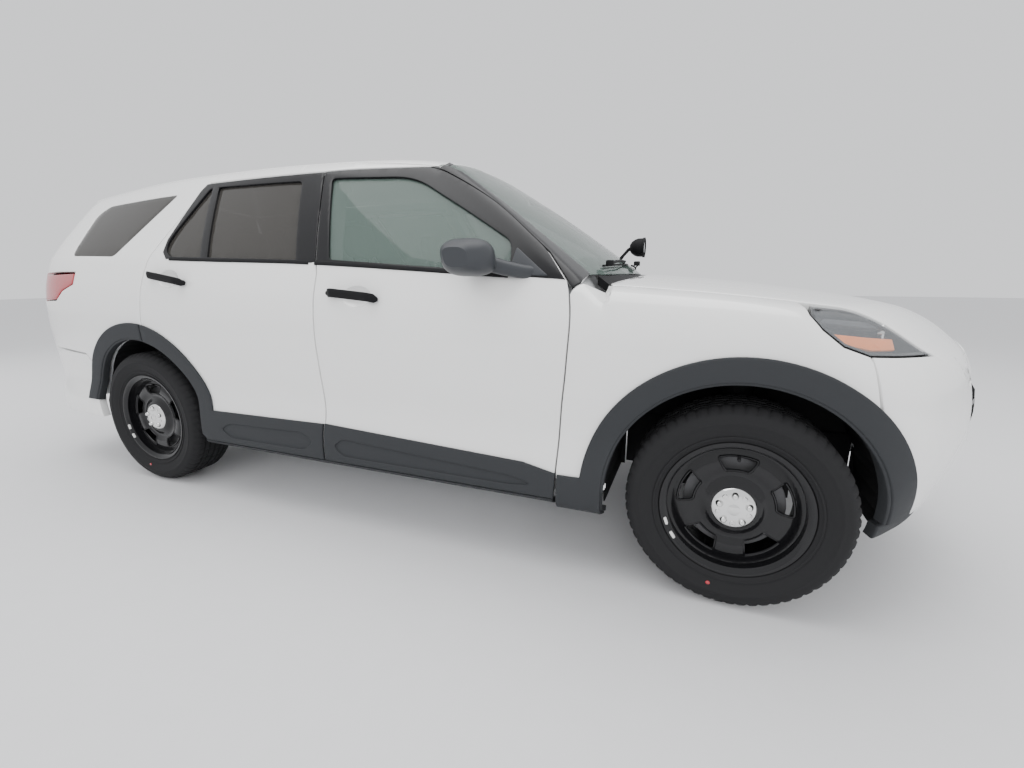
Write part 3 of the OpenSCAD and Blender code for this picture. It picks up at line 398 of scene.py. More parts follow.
def skin(build, chart, outer, holes=(), d0=0.0, d1=22.0, hem=3.0, gap=3.0, hole_gap=None,
         step=26.0, bulge=None):
    """Closed panel between two depths in the surface, with rolled edges."""
    hole_gap = gap if hole_gap is None else hole_gap
    hem = min(hem, 0.45 * (d1 - d0))
    loops = [dense(chart.uv(np.array(outer)))] + [dense(chart.uv(np.array(h)), 14) for h in holes]
    gaps = [-gap] + [hole_gap] * len(holes)
    sign = [-1] + [1] * len(holes)
    angles = [math.radians(a) for a in (0, 30, 60, 90)]
    rings = [[shift(q, g + s * hem * (1 - math.sin(a))) for q, g, s in zip(loops, gaps, sign)]
        for a in angles]
    base = rings[0]
    low = np.min(base[0], 0)
    high = np.max(base[0], 0)
    gu, gv = np.meshgrid(np.arange(low[0] + step / 2, high[0], step),
        np.arange(low[1] + step / 2, high[1], step))
    grid = np.stack([gu.ravel(), gv.ravel()], 1)
    grid = grid[inside(grid, base)]
    edge = np.vstack(base)
    if len(grid):
        near = np.full(len(grid), 1e9)
        for i in range(0, len(edge), 200):
            d = np.linalg.norm(grid[:, None] - edge[None, i : i + 200], axis=2).min(1)
            near = np.minimum(near, d)
        grid = grid[near > 0.55 * step]
    points = np.vstack([edge, grid]) if len(grid) else edge
    links, start = [], 0
    for q in base:
        links += [(start + i, start + (i + 1) % len(q)) for i in range(len(q))]
        start += len(q)
    out = delaunay_2d_cdt([Vector(p) for p in points], links, [], 0, 1e-4)
    uv = np.array([list(p) for p in out[0]])
    tri = [t for f in out[2] for t in ([f] if len(f) == 3 else [[f[0], f[i], f[i + 1]]
        for i in range(1, len(f) - 1)])]
    tri = np.array(tri)
    tri = tri[inside(uv[tri].mean(1), base)]
    where = {}
    for i, src in enumerate(out[3]):
        for s in src:
            where[s] = i
    cache = {}

    def lay(u, d, key=None):
        k = key if key in cache else None
        if k is None:
            p = chart.point(u)
            n = chart.normals(p)
            if key is not None:
                cache[key] = (p, n)
        else:
            p, n = cache[k]
        extra = 0 if bulge is None else bulge(p)
        return p - n * (d - extra if np.isscalar(extra) else (d - extra)[:, None])

    front = lay(uv, d0, "base")
    back = lay(uv, d1, "base")
    v = [front]
    n0 = len(uv)
    ring_at, at, start = [], n0, 0
    for li, q in enumerate(base):
        ids = [[where[start + i] for i in range(len(q))]]
        for k in (1, 2, 3):
            v.append(lay(rings[k][li], d0 + hem * (1 - math.cos(angles[k]))))
            ids.append(list(range(at, at + len(q))))
            at += len(q)
        v.append(lay(rings[3][li], d1 - 0.35 * hem))
        ids.append(list(range(at, at + len(q))))
        at += len(q)
        ring_at.append(ids)
        start += len(q)
    v.append(back)
    f = [tuple(t) for t in tri] + [tuple(t[::-1] + at) for t in tri]
    start = 0
    for li, ids in enumerate(ring_at):
        m = len(ids[0])
        last = [at + where[start + i] for i in range(m)]
        chain = ids + [last]
        for a, b in zip(chain, chain[1:]):
            for i in range(m):
                j = (i + 1) % m
                f.append((a[i], b[i], b[j], a[j]))
        start += m
    v = np.vstack(v)
    # Outward winding: the front triangles follow the surface normal
    t = tri[: min(len(tri), 400)]
    w = np.cross(front[t[:, 1]] - front[t[:, 0]], front[t[:, 2]] - front[t[:, 0]])
    n = chart.normals(front[t[:, 0]])
    if np.sum(w * n) < 0:
        f = [q[::-1] for q in f]
    build.add(v, f)
    return build


SMOOTH_ANGLE = 38


def emit(name, build, material, body="root", right=False, replace=(), slot=None, both=False,
         subdivide=0):
    """Makes the object in metres, on the left as built or mirrored to the right."""
    v, f = np.vstack(build.v), build.f
    if both:
        n = len(v)
        f = f + [tuple(i + n for i in q[::-1]) for q in f]
        v = np.vstack([v, v * [1, -1, 1]])
    elif right:
        v, f = v * [1, -1, 1], [q[::-1] for q in f]
    mesh = bpy.data.meshes.new(name)
    mesh.from_pydata((v / 1000).tolist(), [], [list(map(int, q)) for q in f])
    mesh.validate()
    bm = bmesh.new()
    bm.from_mesh(mesh)
    bmesh.ops.remove_doubles(bm, verts=bm.verts[:], dist=2e-6)
    bmesh.ops.recalc_face_normals(bm, faces=bm.faces[:])
    bm.to_mesh(mesh)
    bm.free()
    for q in mesh.polygons:
        q.use_smooth = True
    mesh.set_sharp_from_angle(angle=math.radians(SMOOTH_ANGLE))
    mesh.materials.append(material)
    o = bpy.data.objects.new(name, mesh)
    bpy.context.scene.collection.objects.link(o)
    if subdivide:
        s = o.modifiers.new("Subdivision", "SUBSURF")
        s.levels = s.render_levels = subdivide
    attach(o, body)
    slot = slot or SLOTS[material]
    if replace:
        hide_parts(*replace)
    return o


# ---------------------------------------------------------------- materials


def material(name, colour, rough, metal=0.0, coat=0.0, grain=0.0, scale=400.0, mottle=0.04,
             shine=0.5):
    """Principled material with a fine grain in its relief and a slight mottle in its colour."""
    m = bpy.data.materials.new(name)
    m.use_nodes = True
    n, l = m.node_tree.nodes, m.node_tree.links
    b = n["Principled BSDF"]
    b.inputs["Base Color"].default_value = (*colour, 1)
    b.inputs["Roughness"].default_value = rough
    b.inputs["Metallic"].default_value = metal
    b.inputs["Coat Weight"].default_value = coat
    b.inputs["Coat Roughness"].default_value = 0.03
    b.inputs["Specular IOR Level"].default_value = shine
    where = n.new("ShaderNodeTexCoord")
    if mottle:
        noise = n.new("ShaderNodeTexNoise")
        noise.inputs["Scale"].default_value = 9.0
        noise.inputs["Detail"].default_value = 4.0
        l.new(where.outputs["Object"], noise.inputs["Vector"])
        ramp = n.new("ShaderNodeMapRange")
        ramp.inputs["To Min"].default_value = max(0.0, rough - mottle)
        ramp.inputs["To Max"].default_value = min(1.0, rough + mottle)
        l.new(noise.outputs["Fac"], ramp.inputs["Value"])
        l.new(ramp.outputs["Result"], b.inputs["Roughness"])
        mix = n.new("ShaderNodeMix")
        mix.data_type = "RGBA"
        mix.inputs["A"].default_value = (*[c * (1 - mottle) for c in colour], 1)
        mix.inputs["B"].default_value = (*[min(1, c * (1 + mottle)) for c in colour], 1)
        l.new(noise.outputs["Fac"], mix.inputs["Factor"])
        l.new(mix.outputs["Result"], b.inputs["Base Color"])
    if grain:
        fine = n.new("ShaderNodeTexNoise")
        fine.inputs["Scale"].default_value = scale
        fine.inputs["Detail"].default_value = 3.0
        l.new(where.outputs["Object"], fine.inputs["Vector"])
        bump = n.new("ShaderNodeBump")
        bump.inputs["Strength"].default_value = grain
        bump.inputs["Distance"].default_value = 0.0006
        l.new(fine.outputs["Fac"], bump.inputs["Height"])
        l.new(bump.outputs["Normal"], b.inputs["Normal"])
    return m


def glass(name, colour, alpha, rough=0.03):
    """Tinted window glass: a glossy film of colour that lets part of the light through."""
    m = material(name, colour, rough, mottle=0.02)
    b = m.node_tree.nodes["Principled BSDF"]
    b.inputs["Specular IOR Level"].default_value = 0.35
    b.inputs["Alpha"].default_value = alpha
    return m


paint = material("white_gloss_paint", (0.87, 0.87, 0.86), 0.25, coat=1.0, grain=0.012, scale=260,
    mottle=0.012)
inner = material("inner_white_paint", (0.62, 0.63, 0.64), 0.4, coat=0.3, grain=0.05, scale=300)
dark = material("grained_dark_grey", (0.034, 0.036, 0.039), 0.62, grain=0.55, scale=900, shine=0.2)
black = material("matte_black_plastic", (0.01, 0.01, 0.011), 0.6, grain=0.4, scale=900, shine=0.15)
gloss_black = material("gloss_black_trim", (0.006, 0.006, 0.007), 0.24, grain=0.01, shine=0.3)
mirror_grey = material("satin_mirror_grey", (0.04, 0.043, 0.048), 0.4, grain=0.15, scale=1100,
    shine=0.3)
wheel_black = material("gloss_black_steel", (0.006, 0.006, 0.007), 0.2, coat=0.15, grain=0.05,
    scale=120, shine=0.35)
chrome = material("bright_cap", (0.78, 0.78, 0.77), 0.16, metal=1.0, grain=0.03, scale=60, mottle=0.05)
steel = material("bare_steel", (0.36, 0.35, 0.34), 0.36, metal=1.0, grain=0.2, scale=500)
rubber = material("tyre_rubber", (0.02, 0.02, 0.021), 0.72, grain=0.35, scale=700, shine=0.15)
seat_cloth = material("seat_cloth", (0.2, 0.195, 0.185), 0.9, grain=1.0, scale=1500, mottle=0.08)
dash = material("dash_grain", (0.07, 0.07, 0.075), 0.6, grain=0.6, scale=900)
chassis = material("chassis_black", (0.012, 0.012, 0.013), 0.5, grain=0.4, scale=200, shine=0.2)
iron = material("cast_iron", (0.13, 0.13, 0.135), 0.6, metal=0.5, grain=0.9, scale=260)
amber = material("amber_reflector", (0.95, 0.24, 0.01), 0.3, coat=0.2, grain=0.5, scale=420, mottle=0.1)
red = material("red_lens", (0.42, 0.02, 0.03), 0.12, coat=1.0, grain=0.25, scale=420)
weight_white = material("white_weight", (0.75, 0.75, 0.73), 0.5, grain=0.2)
mirror_glass = material("mirror_glass", (0.86, 0.88, 0.9), 0.02, metal=1.0, mottle=0.0, grain=0.0)
green_glass = glass("green_tint_glass", (0.12, 0.165, 0.145), 0.56)
dark_glass = glass("privacy_glass", (0.045, 0.042, 0.038), 0.86)
lens_glass = glass("lamp_lens", (0.5, 0.52, 0.54), 0.16)

# A material slot name for each look, where the piece doesn't name another; emit looks it up but gives
# the part no slot with it
SLOTS = {paint: "white_paint", dark: "dark_plastic", black: "black_plastic",
    gloss_black: "gloss_black", mirror_grey: "mirror_grey", wheel_black: "steel_black",
    iron: "steel_black", weight_white: "steel_black", chrome: "steel_black", rubber: "tyre_rubber",
    seat_cloth: "seat_fabric", dash: "dash_plastic", chassis: "chassis_black", red: "lamp_red",
    amber: "lamp_clear", mirror_glass: "lamp_clear", lens_glass: "lamp_clear",
    green_glass: "tint_green", dark_glass: "tint_dark"}

# ---------------------------------------------------------------- split lines


def on_belt(x, rise):
    return (x, float(belt(x)) + rise)


def panel(chart, outer, holes=(), **how):
    """A skin in a build of its own."""
    return skin(Build(), chart, outer, holes, **how)


def whole(half):
    """A closed loop from its left half, which starts and ends on the car's middle."""
    return np.vstack([half, (half * [1, -1, 1])[::-1][1:-1]])


def mirrored(half):
    """A flat outline across the middle, from its left half."""
    return half + [(-y, z) for y, z in half[::-1]]


def arc_pts(x, r, start, end, n=40):
    return [(x + r * math.cos(math.radians(a)), axle_z + r * math.sin(math.radians(a)))
        for a in np.linspace(start, end, n)]


def edge_angle(r, dx):
    return math.degrees(math.acos(dx / r))


a_line = bend([(a_x - 22, door_z), (a_x - 6, 630), (a_x + 14, 830), (a_x + 24, 1000),
    (a_x + 12, 1100), (a_x, belt_z - 66)])
a_post = bend([(a_x - 90, belt_z + 38), (a_x - 350, rail_z - 198), (a_x - 600, rail_z - 56),
    (a_x - 716, rail_z - 14)])
b_line = np.array([(b_x, door_z), (b_x + 2, belt_z - 40)] + [(b_x + 2 - 144 * t,
    belt_z - 40 + t * (rail_z - belt_z + 40)) for t in np.linspace(0.1, 1, 10)])
c_line = bend([(c_x - 12, 890), (c_x, 1000), (c_x + 28, belt_z - 12), (c_x + 82, belt_z + 134),
    (c_x + 236, rail_z)])

c_end = edge_angle(arch_r, c_x - 12 - rear_axle)
door_arc = arc_pts(rear_axle, arch_r, c_end, 0)
front_door = list(a_line) + list(a_post) + [(b_x - 142, rail_z)] + list(b_line)[::-1]
rear_door = (list(b_line) + list(c_line)[::-1] + door_arc
    + [(rear_axle + arch_r, 320), (rear_axle + arch_r + 60, door_z)])


front_window = rounded([(b_x + 52, belt_z + 14), (b_x - 86, rail_z - 34),
    (a_x - 830, rail_z - 50), (a_x - 728, rail_z - 78), (a_x - 445, rail_z - 234),
    (a_x - 240, belt_z + 84), (a_x - 222, on_belt(a_x - 240, 10)[1])],
    [22, 34, 60, 60, 90, 40, 14])
rear_window = rounded([(b_x - 122, belt_z + 14), (b_x - 256, rail_z - 34),
    (b_x - 846, rail_z - 26), on_belt(b_x - 700, 10)], [16, 30, 14, 10])
rear_pane = rounded([on_belt(b_x - 740, 10), (b_x - 884, rail_z - 26), (b_x - 908, rail_z - 34),
    (c_x + 140, belt_z + 134), (c_x + 150, belt_z + 70), (c_x + 210, on_belt(b_x - 900, 10)[1])],
    [10, 12, 20, 60, 50, 24])
quarter_window = rounded([on_belt(rear_axle - 167, 10), (rear_axle + 109, rail_z - 50),
    (rear_axle - 512, rail_z - 80), (rear_axle - 589, rail_z - 132), on_belt(rear_axle - 570, 14)],
    [26, 24, 30, 40, 40])

hood_edge = bend([(a_x + 122, 812), (front_axle, 800), (front_axle + 300, 770),
    (front_axle + 560, 700), (front_x - 190, 560), (front_x - 140, 300)])
hood_loop = ([(cowl_x + 78, -300), (cowl_x + 78, 300), (a_x + 175, 600)] + list(hood_edge)
    + [(p[0], -p[1]) for p in hood_edge[::-1]] + [(a_x + 175, -600)])
screen_loop = ([(cowl_x - 87 * (i / 5) ** 2, 760 * i / 5) for i in range(-5, 6)]
    + [(header_x - 24 * (i / 4) ** 2, 626 * i / 4) for i in range(4, -5, -1)])
roof_side = bend([(header_x - 24, 626), (b_x, 618), (rear_axle, 596), (gate_x, 552)])
roof_loop = ([(header_x - 24 * (i / 8) ** 2, 626 * i / 8) for i in range(-8, 8)]
    + list(roof_side) + [(p[0], -p[1]) for p in roof_side[::-1]])

# ---------------------------------------------------------------- painted panels

quarter_loop = np.vstack([
    from_side([(a_x + 51, belt_z - 74)]),
    from_top([(cowl_x - 87, 760), (cowl_x - 240, 739), (header_x + 300, 680), (header_x + 100, 644)]),
    from_top(roof_side),
    from_end([(575, rail_z - 20), (720, belt_z + 60), (735, belt_z + 10), (737, 1182)], -1),
    from_side([(rear_x + 300, 1173), (rear_x + 612, 1180), (rear_x + 602, 1117),
        (rear_x + 494, 1079), (rear_x + 414, 1021), (rear_x + 250, 1012)]),
    from_end([(737, 1008), (737, bumper_z + 60)], -1),
    from_side([(rear_x + 240, 730), (rear_axle - arch_r - 60, 710), (rear_axle - arch_r + 10, 630)]),
    from_side(arc_pts(rear_axle, arch_r, 149.5, c_end, 50)),
    from_side(list(c_line) + [(b_x - 142, rail_z)] + list(a_post)[::-1]
        + [(a_x, belt_z - 66), (a_x + 20, belt_z - 96)]),
])
# Rocker skins below the doors: their dark grey is painted shade, standing in for the shadow under the
# sill
emit("rocker_panels_painted_shade", panel(SIDE, from_side([(a_x - 24, sill_z + 2), (a_x - 24, door_z - 4),
    (rear_axle + arch_r, door_z - 4), (rear_axle + arch_r, sill_z + 2)]), d1=24, gap=2), dark,
    both=True)
emit("body_side_skins", panel(SIDE, quarter_loop, [from_side(quarter_window)], d1=24, gap=3,
    hole_gap=0), paint, both=True, replace=["body_sides"])

fender_loop = np.vstack([
    from_side([(a_x - 17, 395)] + [p for p in list(a_line)[:-8] if p[1] > 396]
        + [(a_x + 20, belt_z - 96), (a_x + 51, belt_z - 74)]),
    from_top([p for p in hood_edge if p[0] < front_axle + 150]),
    from_side([(front_axle + 155, 1046), (front_axle + 190, 1004), (front_axle + 250, 955),
        (front_axle + 330, 925), (front_axle + 340, 905), (front_axle + arch_r - 30, 570)]),
    from_side(arc_pts(front_axle, arch_r, 26, 180, 60)),
    from_side([(front_axle - arch_r, 395)]),
])
emit("fender_skins", panel(SIDE, fender_loop, d1=22, gap=3), paint, both=True, replace=["fenders"])
emit("roof_skin", panel(SIDE, from_top(roof_loop), d1=20, gap=2, step=34), paint, replace=["roof"])
emit("hood_skin", panel(SIDE, from_top(hood_loop), d1=26, gap=0.5, hem=5, step=30), paint, "hood",
    replace=["hood"])

nose_side = [(front_axle + 340, 905), (front_axle + arch_r - 30, 570)]
arc_low = arc_pts(front_axle, arch_r, 26, 0.5, 12)
half_nose = np.vstack([from_top([(front_x - 137, 0), (front_x - 137, 300), (front_x - 160, 430),
    (front_x - 187, 563)]), from_end([(566, 900)], 1),
    from_side([(front_x - 330, 908), (front_axle + 400, 920), (front_axle + 334, 924)]),
    from_side(nose_side), from_side(arc_low),
    from_end([(700, 345), (400, 345), (0, 345)], 1)])
grille_loop = rounded(mirrored([(480, 560), (560, 640), (540, 800), (500, 880), (300, 890)]), 26)
emit("front_bumper_skin", panel(FRONT, whole(half_nose), [from_end(grille_loop, 1)], d1=24, gap=1.5,
    hole_gap=0), paint, replace=["front_bumper"])
low_loop = np.vstack([from_end([(0, 343), (400, 343), (700, 343)], 1),
    from_side([(front_axle + arch_r, 344), (front_axle + arch_r, 280)]),
    from_end([(700, 278), (400, 278), (0, 278)], 1)])
emit("front_valance_skin", panel(FRONT, whole(low_loop), d0=6, d1=44, gap=1, hem=8), dark,
    replace=["front_valance"])

tail_half = np.vstack([from_end([(0, 662), (400, 662), (618, 664), (735, 742)], -1),
    from_side([(rear_x + 240, 726), (rear_axle - arch_r - 60, 706), (rear_axle - arch_r + 6, 626),
        (rear_axle - arch_r - 10, 480), (rear_axle - arch_r + 20, 332)]),
    from_end([(700, 332), (400, 332), (0, 332)], -1)])
emit("rear_bumper_skin", panel(REAR, whole(tail_half), d1=40, gap=1.5), paint,
    replace=["rear_bumper"])
gate_half = [(0, bumper_z - 16), (400, bumper_z - 16), (614, bumper_z - 12), (729, bumper_z + 62),
    (729, belt_z - 235), (640, belt_z - 215), (644, belt_z - 24), (729, belt_z + 8),
    (714, belt_z + 58), (572, rail_z - 20)]
gate_edge = np.vstack([from_end(gate_half, -1),
    from_top([(gate_x - 8, 546), (gate_x - 8, 300), (gate_x - 8, 0)])])
gate_pane = rounded(mirrored([(640, belt_z + 60), (540, rail_z - 110), (500, rail_z - 90)]), 40)
plate_x, plate_z = rear_x + 74, 925.0
pocket_y, pocket_z = 172.0, 97.0
pocket_loop = rounded([(-pocket_y, plate_z - pocket_z), (pocket_y, plate_z - pocket_z),
    (pocket_y, plate_z + pocket_z), (-pocket_y, plate_z + pocket_z)], 16)
emit("liftgate_skin", panel(GATE, whole(gate_edge), [from_end(gate_pane, -1),
    from_end(pocket_loop, -1)], d1=30, gap=2, hole_gap=0), paint, "liftgate", replace=["liftgate"])
pocket = Build().box((plate_x + 10, -pocket_y - 4, plate_z - pocket_z - 4),
    (plate_x + 15, pocket_y + 4, plate_z + pocket_z + 4), 2, 2)
pocket_back, pocket_lip = plate_x + 12, plate_x - 26
for k in (-1, 1):
    pocket.box((pocket_lip, k * pocket_y - 2, plate_z - pocket_z),
        (pocket_back, k * pocket_y + 2, plate_z + pocket_z), 1, 1)
    pocket.box((pocket_lip, -pocket_y, plate_z + k * pocket_z - 2),
        (pocket_back, pocket_y, plate_z + k * pocket_z + 2), 1, 1)
emit("plate_pocket", pocket, paint, "liftgate")
emit("liftgate_pane", panel(GATE, from_end(gate_pane, -1), d0=4, d1=9, gap=-6, hem=1, step=40),
    dark_glass, "liftgate", replace=["liftgate_glass"])
emit("windshield_pane", panel(SIDE, from_top(screen_loop), d0=1, d1=6, gap=2, hem=1.5, step=40),
    green_glass, replace=["windshield"])
emit("quarter_panes", panel(SIDE, from_side(quarter_window), d0=2.5, d1=7, gap=-5, hem=1, step=40),
    dark_glass, both=True, replace=["quarter_glass"])

# Black ceramic border behind the windshield's edge
emit("windshield_border", panel(SIDE, from_top(screen_loop), [from_top(screen_loop)], d0=7, d1=9,
    gap=3, hole_gap=-52, hem=0.5, step=40), gloss_black)

# Black cover on each windshield post
post_loop = np.vstack([from_side([(a_x + 46, belt_z - 74)]),
    from_top([(cowl_x - 90, 756), (cowl_x - 240, 735), (header_x + 300, 676), (header_x + 100, 640),
        (header_x - 30, 628)]),
    from_side(list(a_post)[::-1] + [(a_x, belt_z - 66), (a_x + 20, belt_z - 96)])])
emit("windshield_post_covers", panel(SIDE, post_loop, d0=-2.6, d1=6, gap=0.4, hem=2, step=12),
    gloss_black, both=True)

# Splash shields beside the front struts
shields = Build()
for x0, x1 in ((front_axle - 428, front_axle - 150), (front_axle + 150, front_axle + 428)):
    shields.box((x0, 508, 330), (x1, 513, 560), 2, 2)
emit("front_splash_shields", shields, black, both=True)

# Spoiler over the rear window, its section given from the liftgate's top edge
spoiler_half = 552
spoiler_section = ((-22, -6), (-60, 1), (-110, 2), (-152, -3), (-160, -10), (-150, -20), (-110, -28),
    (-60, -34), (-24, -30))
spoiler_rings = []
for y in np.linspace(-spoiler_half, spoiler_half, 33):
    ring = []
    for dx, dz in spoiler_section:
        x = gate_x + dx + 26 * (y / spoiler_half) ** 4
        ring.append([x, y, float(top_z(np.array([x]), np.array([y]))[0]) + dz])
    spoiler_rings.append(np.array(ring))
emit("liftgate_spoiler", Build().rings(spoiler_rings, caps=(True, True)), paint, "liftgate")

# ---------------------------------------------------------------- doors


def belt_pts(x0, x1, rise, n=14):
    return [on_belt(x, rise) for x in np.linspace(x0, x1, n)]


front_trim = (belt_pts(b_x - 26, a_x - 4, 1) + [(a_x - 90, belt_z + 34)] + list(a_post)[1:]
    + [(b_x - 142, rail_z)] + [p for p in list(b_line)[::-1] if p[1] > belt_z + 6])
rear_trim = ([p for p in b_line if p[1] > belt_z + 6]
    + [(b_x - 142, rail_z), (c_x + 222, rail_z - 2), (c_x + 196, rail_z - 40),
       (c_x + 126, belt_z + 134), (c_x + 134, belt_z + 66), (c_x + 178, belt_z + 30)]
    + belt_pts(c_x + 206, b_x - 40, 1))
front_clad = [(b_x + 4, door_z + 5), (b_x + 4, 488), (a_x - 150, 447), (a_x - 14, 419),
    (a_x - 20, door_z + 5)]
spear_front = rounded([(b_x + 60, 392), (b_x + 110, 428), (a_x - 190, 384), (a_x - 110, 362),
    (a_x - 200, 350), (b_x + 110, 350)], 26)
rear_clad = (arc_pts(rear_axle, 542, edge_angle(542, c_x - 8 - rear_axle), 11)
    + [(b_x - 4, 486), (b_x - 4, door_z + 5), (rear_axle + arch_r + 30, door_z + 5),
       (rear_axle + arch_r + 2, 345)]
    + arc_pts(rear_axle, arch_r + 1, 0, edge_angle(arch_r + 1, c_x - 8 - rear_axle)))
spear_rear = rounded([(rear_axle + 600, 388), (rear_axle + 660, 420), (b_x - 120, 432),
    (b_x - 60, 396), (b_x - 120, 352), (rear_axle + 660, 350)], 26)


def handle(x0, x1, z0, z1):
    """Strap handle along the door, on two feet."""
    xs = np.linspace(x0, x1, 26)
    zs = np.linspace(z0, z1, 26)
    p = from_side(list(zip(xs, zs)))
    n = normals(p)
    t = np.linspace(0, 1, 26)
    stand = 13 + 29 * np.minimum(1, np.minimum(t, 1 - t) * 7) ** 0.6
    mid = p + n * stand[:, None]
    rings = []
    a = np.arange(16) * 2 * math.pi / 16
    for i in range(26):
        up = np.array([0.0, 0.0, 1.0])
        size = 1.0 if 0 < i < 25 else 0.45
        rings.append(mid[i] + size * (18.5 * np.sin(a)[:, None] * up + 8 * np.cos(a)[:, None] * n[i]))
    b = Build().rings(rings, caps=(True, True))
    for i in (1, 22):
        q = [p[i] - n[i] * 1, p[i] + n[i] * 6, p[i] + n[i] * (stand[i] - 4)]
        rings = []
        for c, s in zip(q, (1.15, 1.0, 0.9)):
            rings.append(c + s * (13 * np.sin(a)[:, None] * np.array([0, 0, 1.0])
                + 20 * np.cos(a)[:, None] * np.array([1.0, 0, 0])))
        b.rings(rings, caps=(True, True))
    return b


cup_w, cup_h = 74, 44


def oval(x, z, n=36):
    """Outline of a handle cup."""
    return [(x + cup_w * math.cos(a), z + cup_h * math.sin(a)) for a in np.arange(n) * 2 * math.pi / n]


def dish(cx, cz, depth):
    """Hollow of a handle cup, as a bulge for skin."""
    return lambda p: -depth * np.clip(
        1 - ((p[:, 0] - cx) / cup_w) ** 2 - ((p[:, 2] - cz) / cup_h) ** 2, 0, 1) ** 0.6


def trim_panel(outline):
    """Trim side of a door: a padded panel below the belt."""
    loop = shift(dense(outline, 20), -52)
    keep = [p for p in loop if p[1] < float(belt(p[0])) - 26]
    return panel(SIDE, from_side(keep), d0=27, d1=118, gap=0, hem=26, step=40)


def door_pieces(outline, panes, cup, trim, strip, clad, spear, grip, tint):
    """Every visible piece of one door: its build, its look and the nodes it stands for."""
    windows = [from_side(q) for q in panes]
    cup_loop = from_side(oval(*cup))
    outer = panel(SIDE, from_side(outline), windows + [cup_loop], d1=25, gap=3, hole_gap=0)
    skin(outer, SIDE, cup_loop, d0=0.5, d1=22, gap=-0.5, hem=1, step=9, bulge=dish(*cup, 15))
    glazing = Build()
    for q, depth in zip(windows, (8, 7)):
        skin(glazing, SIDE, q, d0=depth, d1=depth + 4.5, gap=-5, hem=1, step=40)
    cover = panel(SIDE, from_side(trim), windows, d0=-3.4, d1=14, gap=3, hole_gap=-4, hem=1.2,
        step=14)
    cladding = panel(SIDE, from_side(clad), [from_side(spear)], d0=-13, d1=-0.3, gap=0, hem=6)
    skin(cladding, SIDE, from_side(spear), d0=-7, d1=-0.3, gap=-1, hem=1)
    return {
        "skin": (outer, paint, ["door", "window_frame"]),
        "trim_panel": (trim_panel(outline), dash, []),
        "window": (glazing, tint, ["glass"]),
        "frame_cover": (cover, gloss_black, []),
        "belt_strip": (panel(SIDE, from_side(strip), d0=-5, d1=4, gap=0, hem=4, step=30), black, []),
        "lower_cladding": (cladding, dark, ["cladding"]),
        "handle": (handle(*grip), black, []),
    }


doors = {
    "front": door_pieces(front_door, [front_window], (b_x + 232, 1076), front_trim,
        belt_pts(b_x - 18, a_x - 232, -4) + belt_pts(a_x - 232, b_x - 22, 13), front_clad,
        spear_front, (b_x + 94, b_x + 350, 1085, 1065), green_glass),
    "rear": door_pieces(rear_door, [rear_window, rear_pane], (b_x - 950, 1146), rear_trim,
        belt_pts(c_x + 205, b_x - 52, -4) + belt_pts(b_x - 56, c_x + 200, 13), rear_clad,
        spear_rear, (b_x - 1080, b_x - 806, 1160, 1122), dark_glass),
}
SIDES = (("left", False), ("right", True))
for side, right in SIDES:
    for key in doors["front"]:
        for end in ("front", "rear"):
            build, look, nodes = doors[end][key]
            door = f"{end}_{side}_door"
            emit(f"{door}_{key}", build, look, door, right, [f"{end}_{side}_{n}" for n in nodes])

# ---------------------------------------------------------------- arch mouldings

front_band = ([(a_x - 14, sill_z + 5), (a_x - 8, 416), (front_axle - 540, 417)]
    + arc_pts(front_axle, 542, 175, -1, 60) + arc_pts(front_axle, arch_r + 8, -1, 180, 60)
    + [(front_axle - arch_r - 8, sill_z + 5)])
rear_start = edge_angle(542, c_x - 16 - rear_axle)
rear_band = (arc_pts(rear_axle, 542, rear_start, 173, 40)
    + arc_pts(rear_axle, arch_r + 8, 171.5, edge_angle(arch_r + 8, c_x - 16 - rear_axle), 40))
bands = skin(Build(), SIDE, from_side(front_band), d0=-13.5, d1=-0.3, gap=0, hem=6)
skin(bands, SIDE, from_side(rear_band), d0=-13.5, d1=-0.3, gap=0, hem=6)
lip_front = (arc_pts(front_axle, arch_r + 20, -1, 180, 60)
    + arc_pts(front_axle, arch_r - 1, 180, -1, 60))
lip_rear = (arc_pts(rear_axle, arch_r + 20, edge_angle(arch_r + 20, c_x - 16 - rear_axle), 172, 40)
    + arc_pts(rear_axle, arch_r - 1, 171.5, edge_angle(arch_r - 1, c_x - 16 - rear_axle), 40))
skin(bands, SIDE, from_side(lip_front), d0=-8, d1=30, gap=0, hem=5, step=40)
skin(bands, SIDE, from_side(lip_rear), d0=-8, d1=30, gap=0, hem=5, step=40)
skin(bands, SIDE, from_side([(a_x - 18, sill_z + 5), (a_x - 12, 394), (front_axle - arch_r - 2, 394),
    (front_axle - arch_r - 2, sill_z + 5)]), d0=0.4, d1=22, gap=1, hem=2)
emit("arch_bands", bands, dark, both=True, replace=["arch_mouldings"])

# ---------------------------------------------------------------- lamps

lamp_top = [p for p in hood_edge if front_axle + 152 < p[0] < front_x - 188]
lamp_loop = np.vstack([
    from_side([(front_axle + 155, 1046), (front_axle + 190, 1004), (front_axle + 250, 955),
        (front_axle + 330, 925), (front_axle + 400, 921), (front_x - 330, 910)]),
    from_end([(565, 902), (562, 930)], 1), from_top(lamp_top[::-1])])
emit("headlight_lenses", panel(FRONT, lamp_loop, d0=0.5, d1=4, gap=3.5, hem=1.5), lens_glass,
    both=True, replace=["headlights"])
emit("headlight_bowls", panel(FRONT, lamp_loop, d0=52, d1=60, gap=6, hem=1.5), gloss_black,
    both=True)
emit("headlight_bezels", panel(FRONT, lamp_loop, [lamp_loop], d0=4.5, d1=54, gap=4, hole_gap=-12,
    hem=2), gloss_black, both=True)
lamp_tail_loop = np.vstack([
    from_side([(rear_x + 300, 1166), (rear_x + 608, 1176), (rear_x + 598, 1119), (rear_x + 492, 1081),
        (rear_x + 412, 1024), (rear_x + 250, 1014)]),
    from_end([(737, 1011), (652, 1013), (654, 1186), (737, 1214)], -1)])
